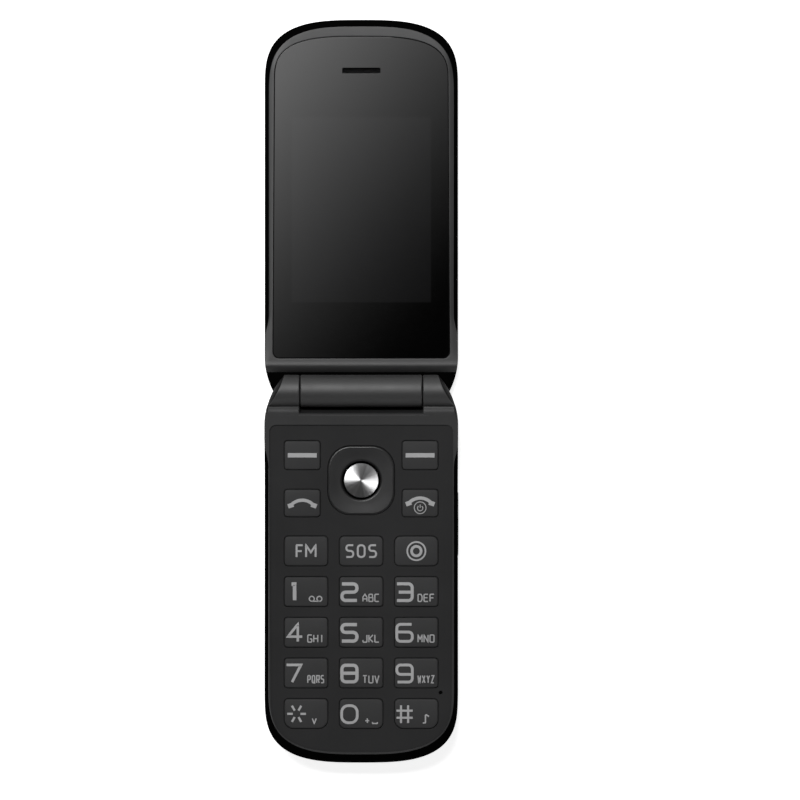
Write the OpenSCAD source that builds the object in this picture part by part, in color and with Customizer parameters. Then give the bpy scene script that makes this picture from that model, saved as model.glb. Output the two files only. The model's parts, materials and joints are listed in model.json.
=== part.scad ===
// Flip phone, lying open flat on its back. Millimetres.
// X runs across the phone, +Y from the hinge to the end of the lid, +Z up from the table.
// The hinge axis lies along X over y = 0. Hinge angle 0 is open flat and 180 is closed.
// "s" is a distance from the hinge axis along either half: y = -s on the base, y = s on the lid.

/* [Body] */
// Full width of both halves
body_w = 51; // [46:0.5:56]
// Reach of each half from the hinge axis to its free end
half_len = 98; // [90:1:108]
// Thickness of the base at its rim
base_t = 10.7; // [10.5:0.1:12]
// Thickness of the lid
lid_t = 6; // [5.8:0.1:7]
// Gap between the closed halves
lid_gap = 0.5; // [0.4:0.1:0.9]
// Wall of the outer shells
wall = 1.2; // [1:0.1:1.4]

/* [Outline] */
// Depth of the rounded free ends seen from above
end_depth = 18; // [16:0.5:20]
// Fullness of the rounded free ends, where 2 is an ellipse
end_full = 3.1; // [2.7:0.1:3.6]
// Radius of the flare from the hinge ears to the full width
flare_r = 19.6; // [18:0.2:24]
// Distance from the axis at which the flare reaches the full width
flare_s = 9; // [8:0.5:10]
// Profile radius of the base's foot, seen from the side
base_end_r = 24; // [20:1:30]
// Profile radius of the lid's free end, seen from the side
lid_end_r = 80; // [60:2:100]
// Profile radius of the base's back toward the hinge
heel_r = 63; // [50:1:70]
// Profile radius of the lid's outer face toward the hinge
brow_r = 39; // [32:1:42]
// How far the base's back edges round in
side_round = 5; // [4:0.2:6]
// How far the lid's outer edges round in
lid_round = 3.5; // [2.5:0.1:4.5]
// Bevel of both inner rims along the sides
rim_bevel = 1; // [0.6:0.1:1.2]
// Bevel of the base's rim at its foot
foot_bevel = 2.5; // [1.6:0.1:2.8]
// Bevel of the lid's rim at its free end
brim_bevel = 1.9; // [1.2:0.1:2.2]

/* [Hinge] */
// Radius of the hinge barrel
barrel_r = 4.25; // [4.1:0.05:4.5]
// Width taken by each hinge ear, from the body's side inward
ear_w = 9.5; // [9:0.1:10.5]
// Gap between the knuckle and each ear
knuckle_gap = 0.25; // [0.2:0.05:0.4]
// How far the lid's end runs past the axis
lid_overhang = 1; // [0.6:0.1:1.2]
// Gap between the two ends when open flat
stop_gap = 0.4; // [0.3:0.05:0.6]
// Gap between the knuckle and the base's saddle
saddle_gap = 0.7; // [0.5:0.05:0.9]
// Gap between the ears and the lid's pockets
pocket_gap = 0.5; // [0.4:0.05:0.6]
// Fillet from the knuckle to the lid's face
lid_fillet = 0.5; // [0.3:0.1:1.2]
// Fillet from the ears to the base's face
ear_fillet = 0.8; // [0.5:0.1:1.5]
// Radius of the hinge pin and of the shaft's head
pin_r = 2; // [1.7:0.05:2.1]
// Radius of the shaft's neck inside the spring
neck_r = 1.2; // [1:0.05:1.3]
// Radial clearance of the turning fits
run_fit = 0.05; // [0.03:0.01:0.08]
// Radial clearance of the fixed fits
seat_fit = 0.02; // [0.01:0.01:0.04]
// Wire radius of the hinge spring
wire_r = 0.3; // [0.22:0.02:0.32]
// Turns of the hinge spring
spring_turns = 6; // [5:0.5:7]

/* [Lens and display] */
// Margin from the lid's side to the lens at its free end
lens_side = 2.4; // [2.2:0.1:2.8]
// How much wider each side of the lens is at the hinge
lens_flare = 0.4; // [0:0.1:0.5]
// Hinge end of the lens, from the axis
lens_near = 8.7; // [8.2:0.1:9.4]
// Margin from the lid's free end to the lens
lens_margin = 4.5; // [4:0.1:5]
// Depth of the rounded end of the lens
lens_depth = 12; // [10:0.5:14]
// Lens thickness
lens_t = 0.9; // [0.8:0.05:1]
// Gap round the lens
lens_gap = 0.1; // [0.06:0.02:0.16]
// Margin from the side of the lens to the display's lit area
view_side = 4.75; // [4.2:0.05:5.6]
// Hinge end of the display's lit area, from the axis
view_near = 23.4; // [22.8:0.1:26]
// Margin from the free end of the lens to the display's lit area
view_top = 21.3; // [20.8:0.1:24]
// Length of the earpiece slot
slot_w = 10; // [8:0.5:12]
// Height of the earpiece slot
slot_h = 1.55; // [1.2:0.05:1.8]
// Middle of the earpiece slot, from the free end of the lens
slot_top = 9; // [8.6:0.1:9.8]

/* [Keypad] */
// Depth of the keypad panel below the rim
panel_recess = 0.5; // [0.4:0.05:0.6]
// Width of the lip round the keypad panel
panel_lip = 0.7; // [0.5:0.1:0.9]
// Hinge end of the keypad panel, from the axis
panel_near = 9; // [8.5:0.1:9.5]
// Thickness of the keypad panel
plate_t = 1.35; // [1.2:0.05:1.4]
// Height of the keys above the panel
key_rise = 0.4; // [0.3:0.02:0.44]
// Gap round each key
key_gap = 0.2; // [0.15:0.05:0.3]
// Travel of a key
key_travel = 0.3; // [0.2:0.02:0.34]
// Margin from the body's side to the outer keys
key_side = 5.3; // [5.1:0.1:6]
// Space between the columns of keys
key_split = 3.1; // [2.8:0.1:3.6]
// Hinge edge of the first full row of keys, from the axis
row_top = 38.2; // [37.8:0.1:39]
// Margin from the foot to the last row of keys
key_foot = 9.2; // [8.8:0.1:11]
// Space between the rows of keys
row_split = 2.9; // [2.6:0.1:3.4]
// Space between the ring and the keys beside it
soft_split = 2.05; // [1.8:0.05:2.6]
// Height of the upper keys beside the ring
soft_h = 7.6; // [7:0.1:7.8]
// Height of the lower keys beside the ring
call_h = 7.2; // [6.6:0.1:7.4]
// Corner radius of the keys
key_round = 0.8; // [0.5:0.1:1.4]
// Corner radius at the foot of the lowest row
foot_round = 2.4; // [1.6:0.1:3]
// Width of the navigation ring
nav_w = 17.5; // [16.5:0.1:18]
// Height of the navigation ring
nav_h = 18.1; // [17:0.1:18.4]
// Corner radius of the navigation ring
nav_round = 6; // [5:0.1:7]
// Middle of the navigation ring, from the axis
nav_s = 23.5; // [23.3:0.05:23.6]
// Radius of the hole in the navigation ring
nav_hole_r = 5.4; // [5.2:0.05:5.6]
// Radius of the centre key
ok_r = 4.6; // [4.2:0.05:4.7]
// Tilt of the navigation ring each way, in degrees
nav_tilt = 1.5; // [1:0.1:1.6]

/* [Sides] */
// Length of the volume rocker
rocker_len = 17.4; // [15:0.2:18.4]
// Height of the volume rocker
rocker_h = 2.1; // [1.8:0.05:2.2]
// Middle of the volume rocker, from the axis
rocker_s = 35; // [34:0.5:40]
// How far the rocker stands out of the side
rocker_out = 0.15; // [0.1:0.05:0.3]
// Tilt of the rocker each way, in degrees
rocker_tilt = 1.4; // [1:0.1:1.5]
// Bore of the headset socket
jack_r = 1.8; // [1.7:0.02:1.84]
// Width of the charging socket
usb_w = 7.4; // [7:0.1:7.8]

/* [Inside] */
// Thickness of the main board
board_t = 1; // [0.8:0.05:1.05]
// Thickness of the frame's deck
deck_t = 0.8; // [0.7:0.05:0.9]
// Thickness of the key mat
mat_t = 0.5; // [0.4:0.02:0.54]
// Margin from the body's side to the battery
battery_side = 8; // [7.6:0.1:9]
// Hinge end of the battery, from the axis
battery_near = 28; // [27.8:0.1:30]
// Margin from the foot to the battery
battery_foot = 26; // [25:0.5:30]
// Thickness of the display module
panel_t = 2; // [1.8:0.05:2.1]
// Gap between the battery cover and the frame
cover_gap = 0.15; // [0.1:0.02:0.2]

/* [Hidden] */
$fn = 48;
half_w = body_w / 2;
axis_z = (base_t + lid_gap + lid_t) / 2;
span = 3 * half_len;

// Key layout: columns share the width, and rows share the length below the ring
edge_x = half_w - key_side;
key_w = (2 * edge_x - 2 * key_split) / 3;
pitch_x = key_w + key_split;
key_h = (half_len - key_foot - row_top - 4 * row_split) / 5;
pitch_s = key_h + row_split;
row_s = row_top + key_h / 2;
soft_w = edge_x - nav_w / 2 - soft_split;
soft_x = edge_x - soft_w / 2;

// Levels of the base, from the rim down
z_rim = base_t;
z_panel = z_rim - panel_recess;
z_plate = z_panel - plate_t;
z_fascia = z_rim - 2.3;
z_key = z_panel + key_rise;
flange = 0.5;
flange_t = 0.6;
z_flange = z_plate - 0.05 - flange_t;
z_mat = z_flange - key_travel - 0.05;
dome_h = 0.15;
z_board = z_mat - mat_t - dome_h;
z_deck = z_board - board_t;
z_bay = z_deck - deck_t;
side_top = z_fascia - 1.5;
end_wall = wall + 0.6;
near_base = lid_overhang + stop_gap;
heel_z = 2.2;
heel_round = 0.6;
heel_rise = 1.8;
cover_part = 3.5;
cover_rise = 2.7;

// Levels of the lid, from the inner face down
z_lens = lid_t - lens_t;
ledge_t = 0.5;
z_ledge = z_lens - ledge_t;
tip_z = lid_t - 1.6;
lid_side_top = lid_t - 2.6;
brow_z = 2.2;
lid_part = 2.9;
lid_rise = 1.6;
z_display = z_ledge - panel_t;
lid_board_t = 0.8;
z_lid_board = z_display - 0.1 - lid_board_t;
lens_far = half_len - lens_margin;
lens_w = body_w - 2 * lens_side;
view_w = lens_w - 2 * view_side;
view_far = lens_far - view_top;
slot_s = lens_far - slot_top;
camera_s = 15;
camera_r = 3.5;
near_lid_boss = [half_w - 5.1, camera_s - 1];
far_lid_boss = [half_w - 11.5, slot_s - 3.4];
lid_board_side = 7.5;
magnet_r = 2.2;
receiver_w = 14;
receiver_h = 5.4;
magnet = [receiver_w / 2 + magnet_r + 1.8, half_len - 11];

// Hinge
knuckle_half = half_w - ear_w;
ear_in = knuckle_half + knuckle_gap;
saddle_r = barrel_r + saddle_gap;
pocket_r = barrel_r + pocket_gap;
notch_s = saddle_r + 0.75;
ear_bore_end = ear_in + 4.25;
ear_step = 0.06;
head_end = ear_bore_end - 0.1;
chamber_r = barrel_r - 1.25;
can_r = chamber_r - run_fit;
can_in_r = can_r - 0.55;
can_end = knuckle_half;
can_start = 3;
can_wall = 0.8;
cam_t = 1.3;
cam_r = can_in_r - 0.1;
journal_len = 4;
spring_r = (neck_r + can_in_r) / 2;
spring_from = can_start + can_wall + wire_r + 0.05;
spring_to = can_end - can_wall - 0.1 - cam_t - wire_r - 0.05;

// Inside the base
board_half = half_w - 3.5;
mat_half = board_half - 1;
boss_r = 1.25;
screw_r = 0.7;
head_r = 1.15;
near_boss = [half_w - 5.5, saddle_r + wall + boss_r + 0.35];
side_boss = [half_w - wall - boss_r - 0.6, row_s + 2.8 * pitch_s];
board_near = near_boss[1] + boss_r + 0.9;
board_far = half_len - key_foot + 0.7;
battery_w = body_w - 2 * battery_side;
battery_far = half_len - battery_foot;
web_t = 0.4;
web_half = 7.4;
z_web = z_board + dome_h + web_half * sin(nav_tilt) + 0.06;
z_nav = z_web + web_t + max(nav_w, nav_h) / 2 * sin(nav_tilt) + 0.06;
rocker_z = z_deck + 0.45;
rocker_flange_x = half_w - wall - rocker_len / 2 * sin(rocker_tilt) - 0.09;
jack_s = nav_s - 0.2;
jack_out_r = jack_r + 0.25;
jack_z = z_fascia - 0.1 - jack_r;
jack_len = 11.5;
jack_x = wall + 0.05 - half_w;
usb_s = row_s + pitch_s / 2;
side_skin = 0.25;
usb_h = 2.3;
usb_len = 5.2;
usb_z = z_bay + 0.05;
usb_wall = 0.3;
mic_x = half_w - key_side + 0.7;
mic_s = row_s + 3.5 * pitch_s - 0.2;
mic_w = 3.3;
motor = [half_w - 12.3, half_len - 16];
motor_r = 4;
motor_t = 2.5;
speaker_s = half_len - 14.3;
speaker_half = motor[0] - motor_r - 1.2;
speaker_h = 8.6;
speaker_t = 2.7;
card_near = board_near + 2.7;
card_far = battery_near - 3.6;
sim_x = half_w - 12.5;
sim_in = -1.6;
sim_t = 1.5;
shield_x = jack_x + jack_len + 1.2;
shield_in = -3;
shield_t = 1.3;

KEYS = concat(
    [["soft_key_left", -soft_x, nav_s - 6.6, soft_w, soft_h, key_round, key_round]],
    [["soft_key_right", soft_x, nav_s - 6.6, soft_w, soft_h, key_round, key_round]],
    [["call_key", -soft_x, nav_s + 6, soft_w, call_h, key_round, key_round]],
    [["end_key", soft_x, nav_s + 6, soft_w, call_h, key_round, key_round]],
    [["radio_key", -pitch_x, row_s, key_w, key_h, key_round, key_round]],
    [["sos_key", 0, row_s, key_w, key_h, key_round, key_round]],
    [["camera_key", pitch_x, row_s, key_w, key_h, key_round, key_round]],
    [for (i = [0:8]) [str("key_", i + 1), (i % 3 - 1) * pitch_x,
        row_s + (1 + floor(i / 3)) * pitch_s, key_w, key_h, key_round, key_round]],
    [["key_star", -pitch_x, row_s + 4 * pitch_s, key_w, key_h, key_round, foot_round]],
    [["key_0", 0, row_s + 4 * pitch_s, key_w, key_h, key_round, key_round]],
    [["key_hash", pitch_x, row_s + 4 * pitch_s, key_w, key_h, key_round, foot_round]]
);

// Outline and loft formulas

// Reach of a round profile of radius r at height z above its tangent face
function reach(r, z) = sqrt(2 * r * z - z * z);

// Right side of an outline from the hinge end to the middle of the free end, as [x, s]
function side_points(w, near, far, deep, run, inset) = let (
    turn = asin(run / flare_r),
    tangent = near + run
) concat(
    [for (i = [0:5]) let (a = turn * (i / 5 - 1))
        [w - flare_r + flare_r * cos(a), tangent + flare_r * sin(a)]],
    [[w, tangent + 4], [w - inset, tangent + 11]],
    [for (i = [0:12]) let (a = 90 * i / 12)
        [(w - inset) * pow(cos(a), 2 / end_full), far - deep + deep * pow(sin(a), 2 / end_full)]]
);

// Both sides, as one loop
function loop(right) = concat(right,
    [for (i = [len(right) - 2:-1:0]) [-right[i][0], right[i][1]]]);

// A solid through loops [z, points], where turn is 1 for the lid and -1 for the base
module loft(rings, turn) {
    n = len(rings[0][1]);
    top = len(rings) - 1;
    points = [for (r = rings) for (p = r[1]) [p[0], turn * p[1], r[0]]];
    sides = [for (i = [0:top - 1]) for (j = [0:n - 1]) let (
        a = i * n + j,
        b = i * n + (j + 1) % n
    ) each [[a, a + n, b + n], [a, b + n, b]]];
    caps = [[for (j = [0:n - 1]) j], [for (j = [n - 1:-1:0]) top * n + j]];
    faces = concat(sides, caps);
    flipped = [for (f = faces) [for (i = [len(f) - 1:-1:0]) f[i]]];
    polyhedron(points, turn > 0 ? faces : flipped);
}

// Base form at a height

function base_w(z) = half_w - (z >= side_top ? 0
    : side_round * (1 - sqrt(1 - pow(1 - z / side_top, 2))));
function base_far(z) = half_len - (z > z_fascia ? foot_bevel * (z - z_fascia) / (z_rim - z_fascia)
    : reach(base_end_r, z_fascia) - reach(base_end_r, z));
function base_near(z) = near_base
    + (z < heel_z ? reach(heel_r, heel_z) - reach(heel_r, z) : 0)
    + heel_round * pow(max(0, min(1, 1 - (z - heel_z) / heel_rise)), 2);
function base_inset(z) = z > z_fascia ? rim_bevel * (z - z_fascia) / (z_rim - z_fascia) : 0;
function base_run() = flare_s - near_base;

base_levels = [for (f = [0, 0.03, 0.09, 0.18, 0.3, 0.44, 0.62, 0.82, 1]) f * side_top];

module base_form()
    loft([for (z = concat(base_levels, [z_fascia, z_rim]))
        [z, loop(side_points(base_w(z), base_near(z), base_far(z), end_depth, base_run(),
            base_inset(z)))]], -1);

// Loop of the base's hollow beside the outer level z
function base_inner(z) = loop(side_points(base_w(z) - wall,
    max(base_near(z) + wall, saddle_r + wall), base_far(z) - end_wall, end_depth - wall,
    base_run(), 0));

module base_hollow()
    loft(concat(
        [for (z = concat(base_levels, [z_fascia]))
            [wall + z * (1 - wall / z_fascia), base_inner(z)]],
        [[z_plate, base_inner(z_fascia)]]), -1);

// Lid form at a height

function lid_w(z) = half_w - (z >= lid_side_top ? 0
    : lid_round * (1 - sqrt(1 - pow(1 - z / lid_side_top, 2))));
function lid_far(z) = half_len - (z > tip_z ? brim_bevel * (z - tip_z) / (lid_t - tip_z)
    : reach(lid_end_r, tip_z) - reach(lid_end_r, z));
function lid_near(z) = -lid_overhang
    + (z < brow_z ? reach(brow_r, brow_z) - reach(brow_r, z) : 0);
function lid_inset(z) = z > tip_z ? rim_bevel * (z - tip_z) / (lid_t - tip_z) : 0;
function lid_run() = flare_s + lid_overhang;

lid_levels = [for (f = [0, 0.03, 0.09, 0.2, 0.36, 0.56, 0.78, 1]) f * tip_z];

module lid_form()
    loft([for (z = concat(lid_levels, [lid_t]))
        [z, loop(side_points(lid_w(z), lid_near(z), lid_far(z), end_depth, lid_run(),
            lid_inset(z)))]], 1);

function lid_inner(z) = loop(side_points(lid_w(z) - wall,
    max(lid_near(z) + wall, pocket_r + wall), lid_far(z) - end_wall, end_depth - wall,
    lid_run(), 0));

module lid_hollow()
    loft(concat(
        [for (z = lid_levels) [wall + z * (1 - wall / tip_z), lid_inner(z)]],
        [[z_ledge, lid_inner(tip_z)]]), 1);

// Space below or above a parting plane that rises toward the free end
module below(z, rise, turn)
    translate([0, 0, z])
        rotate([turn * atan(rise / half_len), 0, 0])
            translate([-span / 2, -span / 2, -span])
                cube(span);

module above(z, rise, turn)
    translate([0, 0, z])
        rotate([turn * atan(rise / half_len), 0, 0])
            translate([-span / 2, -span / 2, 0])
                cube(span);

// Small shapes

// Box over x and s on the base, from z0 to z1
module base_box(x0, x1, s0, s1, z0, z1)
    translate([x0, -s1, z0])
        cube([x1 - x0, s1 - s0, z1 - z0]);

// Box over x and s on the lid, from z0 to z1
module lid_box(x0, x1, s0, s1, z0, z1)
    translate([x0, s0, z0])
        cube([x1 - x0, s1 - s0, z1 - z0]);

// Cylinder along X about the hinge axis
module on_axis(x0, x1, r)
    translate([x0, 0, axis_z])
        rotate([0, 90, 0])
            cylinder(r = r, h = x1 - x0);

// Rounded rectangle about the origin: r at the hinge end and rf at the foot end
module pad(w, h, r, rf) {
    difference() {
        square([w, h], center = true);
        for (m = [-1, 1]) {
            translate([m * (w - r) / 2, (h - r) / 2])
                square(r, center = true);
            translate([m * (w - rf) / 2, (rf - h) / 2])
                square(rf, center = true);
        }
    }
    for (m = [-1, 1]) {
        translate([m * (w / 2 - r), h / 2 - r])
            circle(r);
        translate([m * (w / 2 - rf), rf - h / 2])
            circle(rf);
    }
}

// Prism of a pad on the base
module pad_prism(x, s, w, h, r, rf, z0, z1)
    translate([x, -s, z0])
        linear_extrude(z1 - z0)
            pad(w, h, r, rf);

// Hinge profile in the plane across the axis, extruded along X from x0 to x1
module across(x0, x1)
    translate([x0, 0, 0])
        rotate([90, 0, 90])
            linear_extrude(x1 - x0)
                children();

// Places of the screws on the base
module at_base_screws()
    for (m = [-1, 1])
        for (p = [near_boss, side_boss])
            translate([m * p[0], -p[1], 0])
                children();

// Places of the screws on the lid
module at_lid_screws()
    for (m = [-1, 1])
        for (p = [near_lid_boss, far_lid_boss])
            translate([m * p[0], p[1], 0])
                children();

// Base

module battery_cover() {
    slots = 5;
    color("#33363d")
        difference() {
            intersection() {
                base_form();
                below(cover_part, cover_rise, -1);
            }
            base_hollow();
            for (i = [0:slots - 1])
                pad_prism(0, speaker_s + (i - 2) * 1.6, speaker_half + 2, 0.8, 0.39, 0.39, -1,
                    wall + 4);
        }
}

module base_frame() {
    color("#3a3c40")
        difference() {
            intersection() {
                base_form();
                above(cover_part + cover_gap, cover_rise, -1);
                translate([-span / 2, -span / 2, 0])
                    cube([span, span, z_fascia]);
            }
            difference() {
                base_hollow();
                base_box(-span, span, 0, span, z_bay, z_deck);
            }
            on_axis(-ear_in, ear_in, saddle_r);
            for (m = [0, 1])
                mirror([m, 0, 0])
                    on_axis(ear_in - 0.1, half_w + 1, barrel_r + 0.05);
            deck_openings();
            side_openings();
            at_base_screws()
                translate([0, 0, z_bay - 1])
                    cylinder(r = screw_r + 0.1, h = deck_t + 2);
        }
}

module deck_openings() {
    z0 = z_bay - 1;
    z1 = z_deck + 1;
    spare = 0.4;
    base_box(shield_x - spare, sim_x + spare, card_near - spare, battery_near - 0.1, z0, z1);
    pad_prism(0, speaker_s, 2 * (speaker_half + spare), speaker_h + 2 * spare, 1.5, 1.5, z0, z1);
    translate([motor[0], -motor[1], z0])
        cylinder(r = motor_r + spare, h = z1 - z0);
}

// Openings in the frame for the sockets and the rocker
module side_openings() {
    translate([-half_w - 1, -jack_s, jack_z])
        rotate([0, 90, 0])
            cylinder(r = jack_r, h = wall + 2);
    translate([jack_x - 0.02, -jack_s, jack_z])
        rotate([0, 90, 0])
            cylinder(r = jack_out_r + 0.1, h = jack_len + 0.2);
    base_box(-half_w - 1, side_skin + usb_len - half_w + 0.2, usb_s - usb_w / 2 - 0.1,
        usb_s + usb_w / 2 + 0.1, usb_z - 0.05, usb_z + usb_h + 0.1);
    translate([rocker_flange_x - 1, -rocker_s, rocker_z])
        rotate([90, 0, 90])
            linear_extrude(wall + 3)
                pad(rocker_len + 0.5, rocker_h + 0.4, rocker_h / 2, rocker_h / 2);
    base_box(rocker_flange_x - 1.6, half_w - wall, rocker_s - rocker_len / 2 - 1.2,
        rocker_s + rocker_len / 2 + 1.2, z_bay - 1, z_fascia - 0.4);
}

// Ear profile: the barrel's round and a fillet down to the fascia's face
module ear_profile() {
    c = sqrt(pow(barrel_r + ear_fillet, 2) - pow(z_rim + ear_fillet - axis_z, 2));
    difference() {
        polygon([[0, z_fascia], [-c, z_fascia], [-c, z_rim],
            [-c * barrel_r / (barrel_r + ear_fillet),
             axis_z + (z_rim + ear_fillet - axis_z) * barrel_r / (barrel_r + ear_fillet)],
            [0, axis_z]]);
        translate([-c, z_rim + ear_fillet])
            circle(ear_fillet + 0.01);
    }
    translate([0, axis_z])
        circle(barrel_r);
}

module keypad_fascia() {
    panel_half = half_w - rim_bevel - panel_lip;
    color("#2b2b2d")
        difference() {
            union() {
                difference() {
                    intersection() {
                        base_form();
                        translate([-span / 2, -span / 2, z_fascia])
                            cube(span);
                    }
                    base_hollow();
                    base_box(-ear_in, ear_in, -1, notch_s, 0, span);
                }
                for (m = [0, 1])
                    mirror([m, 0, 0])
                        intersection() {
                            across(ear_in, half_w)
                                ear_profile();
                            translate([half_w - flare_r, -flare_s, 0])
                                cylinder(r = flare_r - ear_step, h = 2 * axis_z);
                        }
                at_base_screws()
                    translate([0, 0, z_deck])
                        cylinder(r = boss_r, h = z_plate - z_deck + 0.1);
            }
            translate([0, 0, z_panel])
                linear_extrude(span)
                    polygon(panel_points(panel_half));
            key_openings();
            translate([mic_x, -mic_s, z_plate - 1])
                cylinder(r = 0.5, h = 4);
            at_base_screws()
                translate([0, 0, z_deck - 1])
                    cylinder(r = screw_r + seat_fit, h = 2.9);
            for (m = [0, 1])
                mirror([m, 0, 0])
                    on_axis(ear_in - 1, ear_bore_end, pin_r + seat_fit);
        }
}

// Outline of the sunk keypad panel
function panel_points(w) = let (
    far = base_far(z_rim) - panel_lip,
    deep = end_depth - panel_lip - 1.5
) [for (p = loop(concat([[w + 0.3, panel_near]],
    [for (i = [0:16]) let (a = 90 * i / 16)
        [w * pow(cos(a), 2 / end_full), far - deep + deep * pow(sin(a), 2 / end_full)]])))
    [p[0], -p[1]]];

module key_openings() {
    g = 2 * key_gap;
    for (k = KEYS)
        pad_prism(k[1], k[2], k[3] + g, k[4] + g, k[5] + key_gap, k[6] + key_gap, z_plate - 1,
            z_rim + 1);
    pad_prism(0, nav_s, nav_w + 0.5, nav_h + 0.5, nav_round + 0.25, nav_round + 0.25,
        z_plate - 1, z_rim + 1);
}

// A key: its crowned cap and the flange that holds it under the panel
module key_cap(k) {
    crown_r = 40;
    color("#303033") {
        intersection() {
            pad_prism(k[1], k[2], k[3], k[4], k[5], k[6], z_flange, z_key + 1);
            translate([k[1] - k[3], -k[2], z_key - crown_r])
                rotate([0, 90, 0])
                    cylinder(r = crown_r, h = 2 * k[3], $fn = 240);
        }
        pad_prism(k[1], k[2], k[3] + 2 * flange, k[4] + 2 * flange, k[5] + flange,
            k[6] + flange, z_flange, z_flange + flange_t);
    }
}

module nav_ring()
    color("#2f2f32")
        difference() {
            pad_prism(0, nav_s, nav_w, nav_h, nav_round, nav_round, z_nav, z_key);
            translate([0, -nav_s, z_nav - 1])
                cylinder(r = nav_hole_r, h = 5);
            translate([0, -nav_s, z_key - 0.5])
                cylinder(r1 = nav_hole_r, r2 = nav_hole_r + 0.6, h = 0.6);
        }

// The rubber ring that the navigation ring rocks on
module nav_web()
    color("#5a5a5c")
        difference() {
            pad_prism(0, nav_s, 2 * web_half, 2 * web_half, 4, 4, z_web, z_web + web_t);
            translate([0, -nav_s, z_web - 1])
                cylinder(r = nav_hole_r, h = 3);
        }

module ok_key() {
    dish_r = 30;
    color("#b9bbbd")
        translate([0, -nav_s, 0]) {
            difference() {
                translate([0, 0, z_nav])
                    cylinder(r = ok_r, h = z_key - z_nav);
                translate([0, 0, z_key - 0.25 + dish_r])
                    sphere(r = dish_r);
            }
            translate([0, 0, z_mat])
                cylinder(r = 1.2, h = z_nav - z_mat + 0.1);
        }
}

module battery()
    color("#c8c8c4")
        pad_prism(0, (battery_near + battery_far) / 2, battery_w, battery_far - battery_near, 1, 1,
            wall + 0.3, z_bay - 0.1);

module main_board()
    color("#1f5a3a")
        difference() {
            pad_prism(0, (board_near + board_far) / 2, 2 * board_half, board_far - board_near, 2,
                6, z_deck, z_deck + board_t);
            board_notches(z_deck);
        }

// Cuts that clear the sockets, the rocker and the screw bosses
module board_notches(z) {
    base_box(-half_w, jack_x + jack_len + 0.3, jack_s - jack_out_r - 0.2,
        jack_s + jack_out_r + 0.2, z - 1, z + 3);
    base_box(-half_w, usb_len - half_w + 0.7, usb_s - usb_w / 2 - 0.3, usb_s + usb_w / 2 + 0.3,
        z - 1, z + 3);
    at_base_screws()
        translate([0, 0, z - 1])
            cylinder(r = boss_r + 0.3, h = 4);
}

module shield_can()
    color("#b0b3b5")
        base_box(shield_x, shield_in, card_near, card_far, z_deck - shield_t, z_deck);

// One sprung metal dome under each key
module key_domes() {
    dome_r = 2.4;
    places = concat([for (k = KEYS) [k[1], k[2]]], [[0, nav_s]],
        [for (a = [0:90:270]) [7 * cos(a), nav_s + 7 * sin(a)]]);
    color("#c9c4b4")
        for (p = places)
            translate([p[0], -p[1], z_board])
                cylinder(r1 = dome_r, r2 = dome_r - 0.9, h = dome_h);
}

module keypad_mat()
    color("#8b8d90")
        difference() {
            pad_prism(0, (board_near + board_far) / 2, 2 * mat_half, board_far - board_near, 2, 5,
                z_mat - mat_t, z_mat);
            pad_prism(0, nav_s, 2 * web_half + 4, 2 * web_half + 4, 3, 3, z_mat - 2, z_mat + 1);
            board_notches(z_mat - mat_t);
            base_box(mic_x + 0.7 - mic_w, half_w, mic_s - mic_w / 2 - 0.4, mic_s + mic_w / 2 + 0.4,
                z_mat - 2, z_mat + 1);
        }

module volume_rocker() {
    skin = half_w + rocker_out;
    color("#26272a") {
        translate([rocker_flange_x - 0.1, -rocker_s, rocker_z])
            rotate([90, 0, 90])
                linear_extrude(skin - rocker_flange_x + 0.1)
                    pad(rocker_len, rocker_h, rocker_h / 2 - 0.02, rocker_h / 2 - 0.02);
        base_box(rocker_flange_x - 0.6, rocker_flange_x, rocker_s - rocker_len / 2 - 0.7,
            rocker_s + rocker_len / 2 + 0.7, rocker_z - rocker_h / 2 - 0.3,
            rocker_z + rocker_h / 2 + 0.3);
    }
}

// Switch strip behind the rocker, on the edge of the main board
module side_switch() {
    color("#2c6b48")
        base_box(board_half, board_half + 0.5, rocker_s - 7, rocker_s + 7, z_deck + 0.05,
            z_board + 0.4);
    color("#c9c4b4")
        for (m = [-1, 1])
            translate([board_half + 0.4, m * 5 - rocker_s, rocker_z])
                rotate([0, 90, 0])
                    cylinder(r = 0.8, h = 0.25);
}

module usb_socket() {
    x0 = side_skin - half_w;
    color("#b7babc") {
        difference() {
            base_box(x0, x0 + usb_len, usb_s - usb_w / 2, usb_s + usb_w / 2, usb_z,
                usb_z + usb_h);
            base_box(x0 - 1, x0 + usb_len - 0.5, usb_s - usb_w / 2 + usb_wall,
                usb_s + usb_w / 2 - usb_wall, usb_z + usb_wall, usb_z + usb_h - usb_wall);
        }
        base_box(x0 + 0.8, x0 + usb_len - 0.4, usb_s - 1.9, usb_s + 1.9, usb_z + 0.95,
            usb_z + 1.35);
    }
}

module headset_jack()
    color("#1d1d1f")
        translate([jack_x, -jack_s, jack_z])
            rotate([0, 90, 0])
                difference() {
                    cylinder(r = jack_out_r, h = jack_len);
                    translate([0, 0, -1])
                        cylinder(r = jack_r, h = jack_len + 0.2);
                }

module microphone()
    color("#c0b070")
        difference() {
            base_box(mic_x + 1.1 - mic_w, mic_x + 1.1, mic_s - mic_w / 2, mic_s + mic_w / 2,
                z_board, z_board + 0.6);
            translate([mic_x, -mic_s, z_board + 0.2])
                cylinder(r = 0.4, h = 1);
        }

module loudspeaker()
    color("#3c3c3e")
        difference() {
            pad_prism(0, speaker_s, 2 * speaker_half, speaker_h, 1.5, 1.5, z_deck - speaker_t,
                z_deck);
            pad_prism(0, speaker_s, 2 * speaker_half - 3, speaker_h - 2.6, 1.2, 1.2,
                z_deck - speaker_t - 1, z_deck - speaker_t + 0.3);
        }

module vibration_motor()
    color("#a8abad")
        translate([motor[0], -motor[1], z_deck - motor_t])
            cylinder(r = motor_r, h = motor_t);

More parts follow.
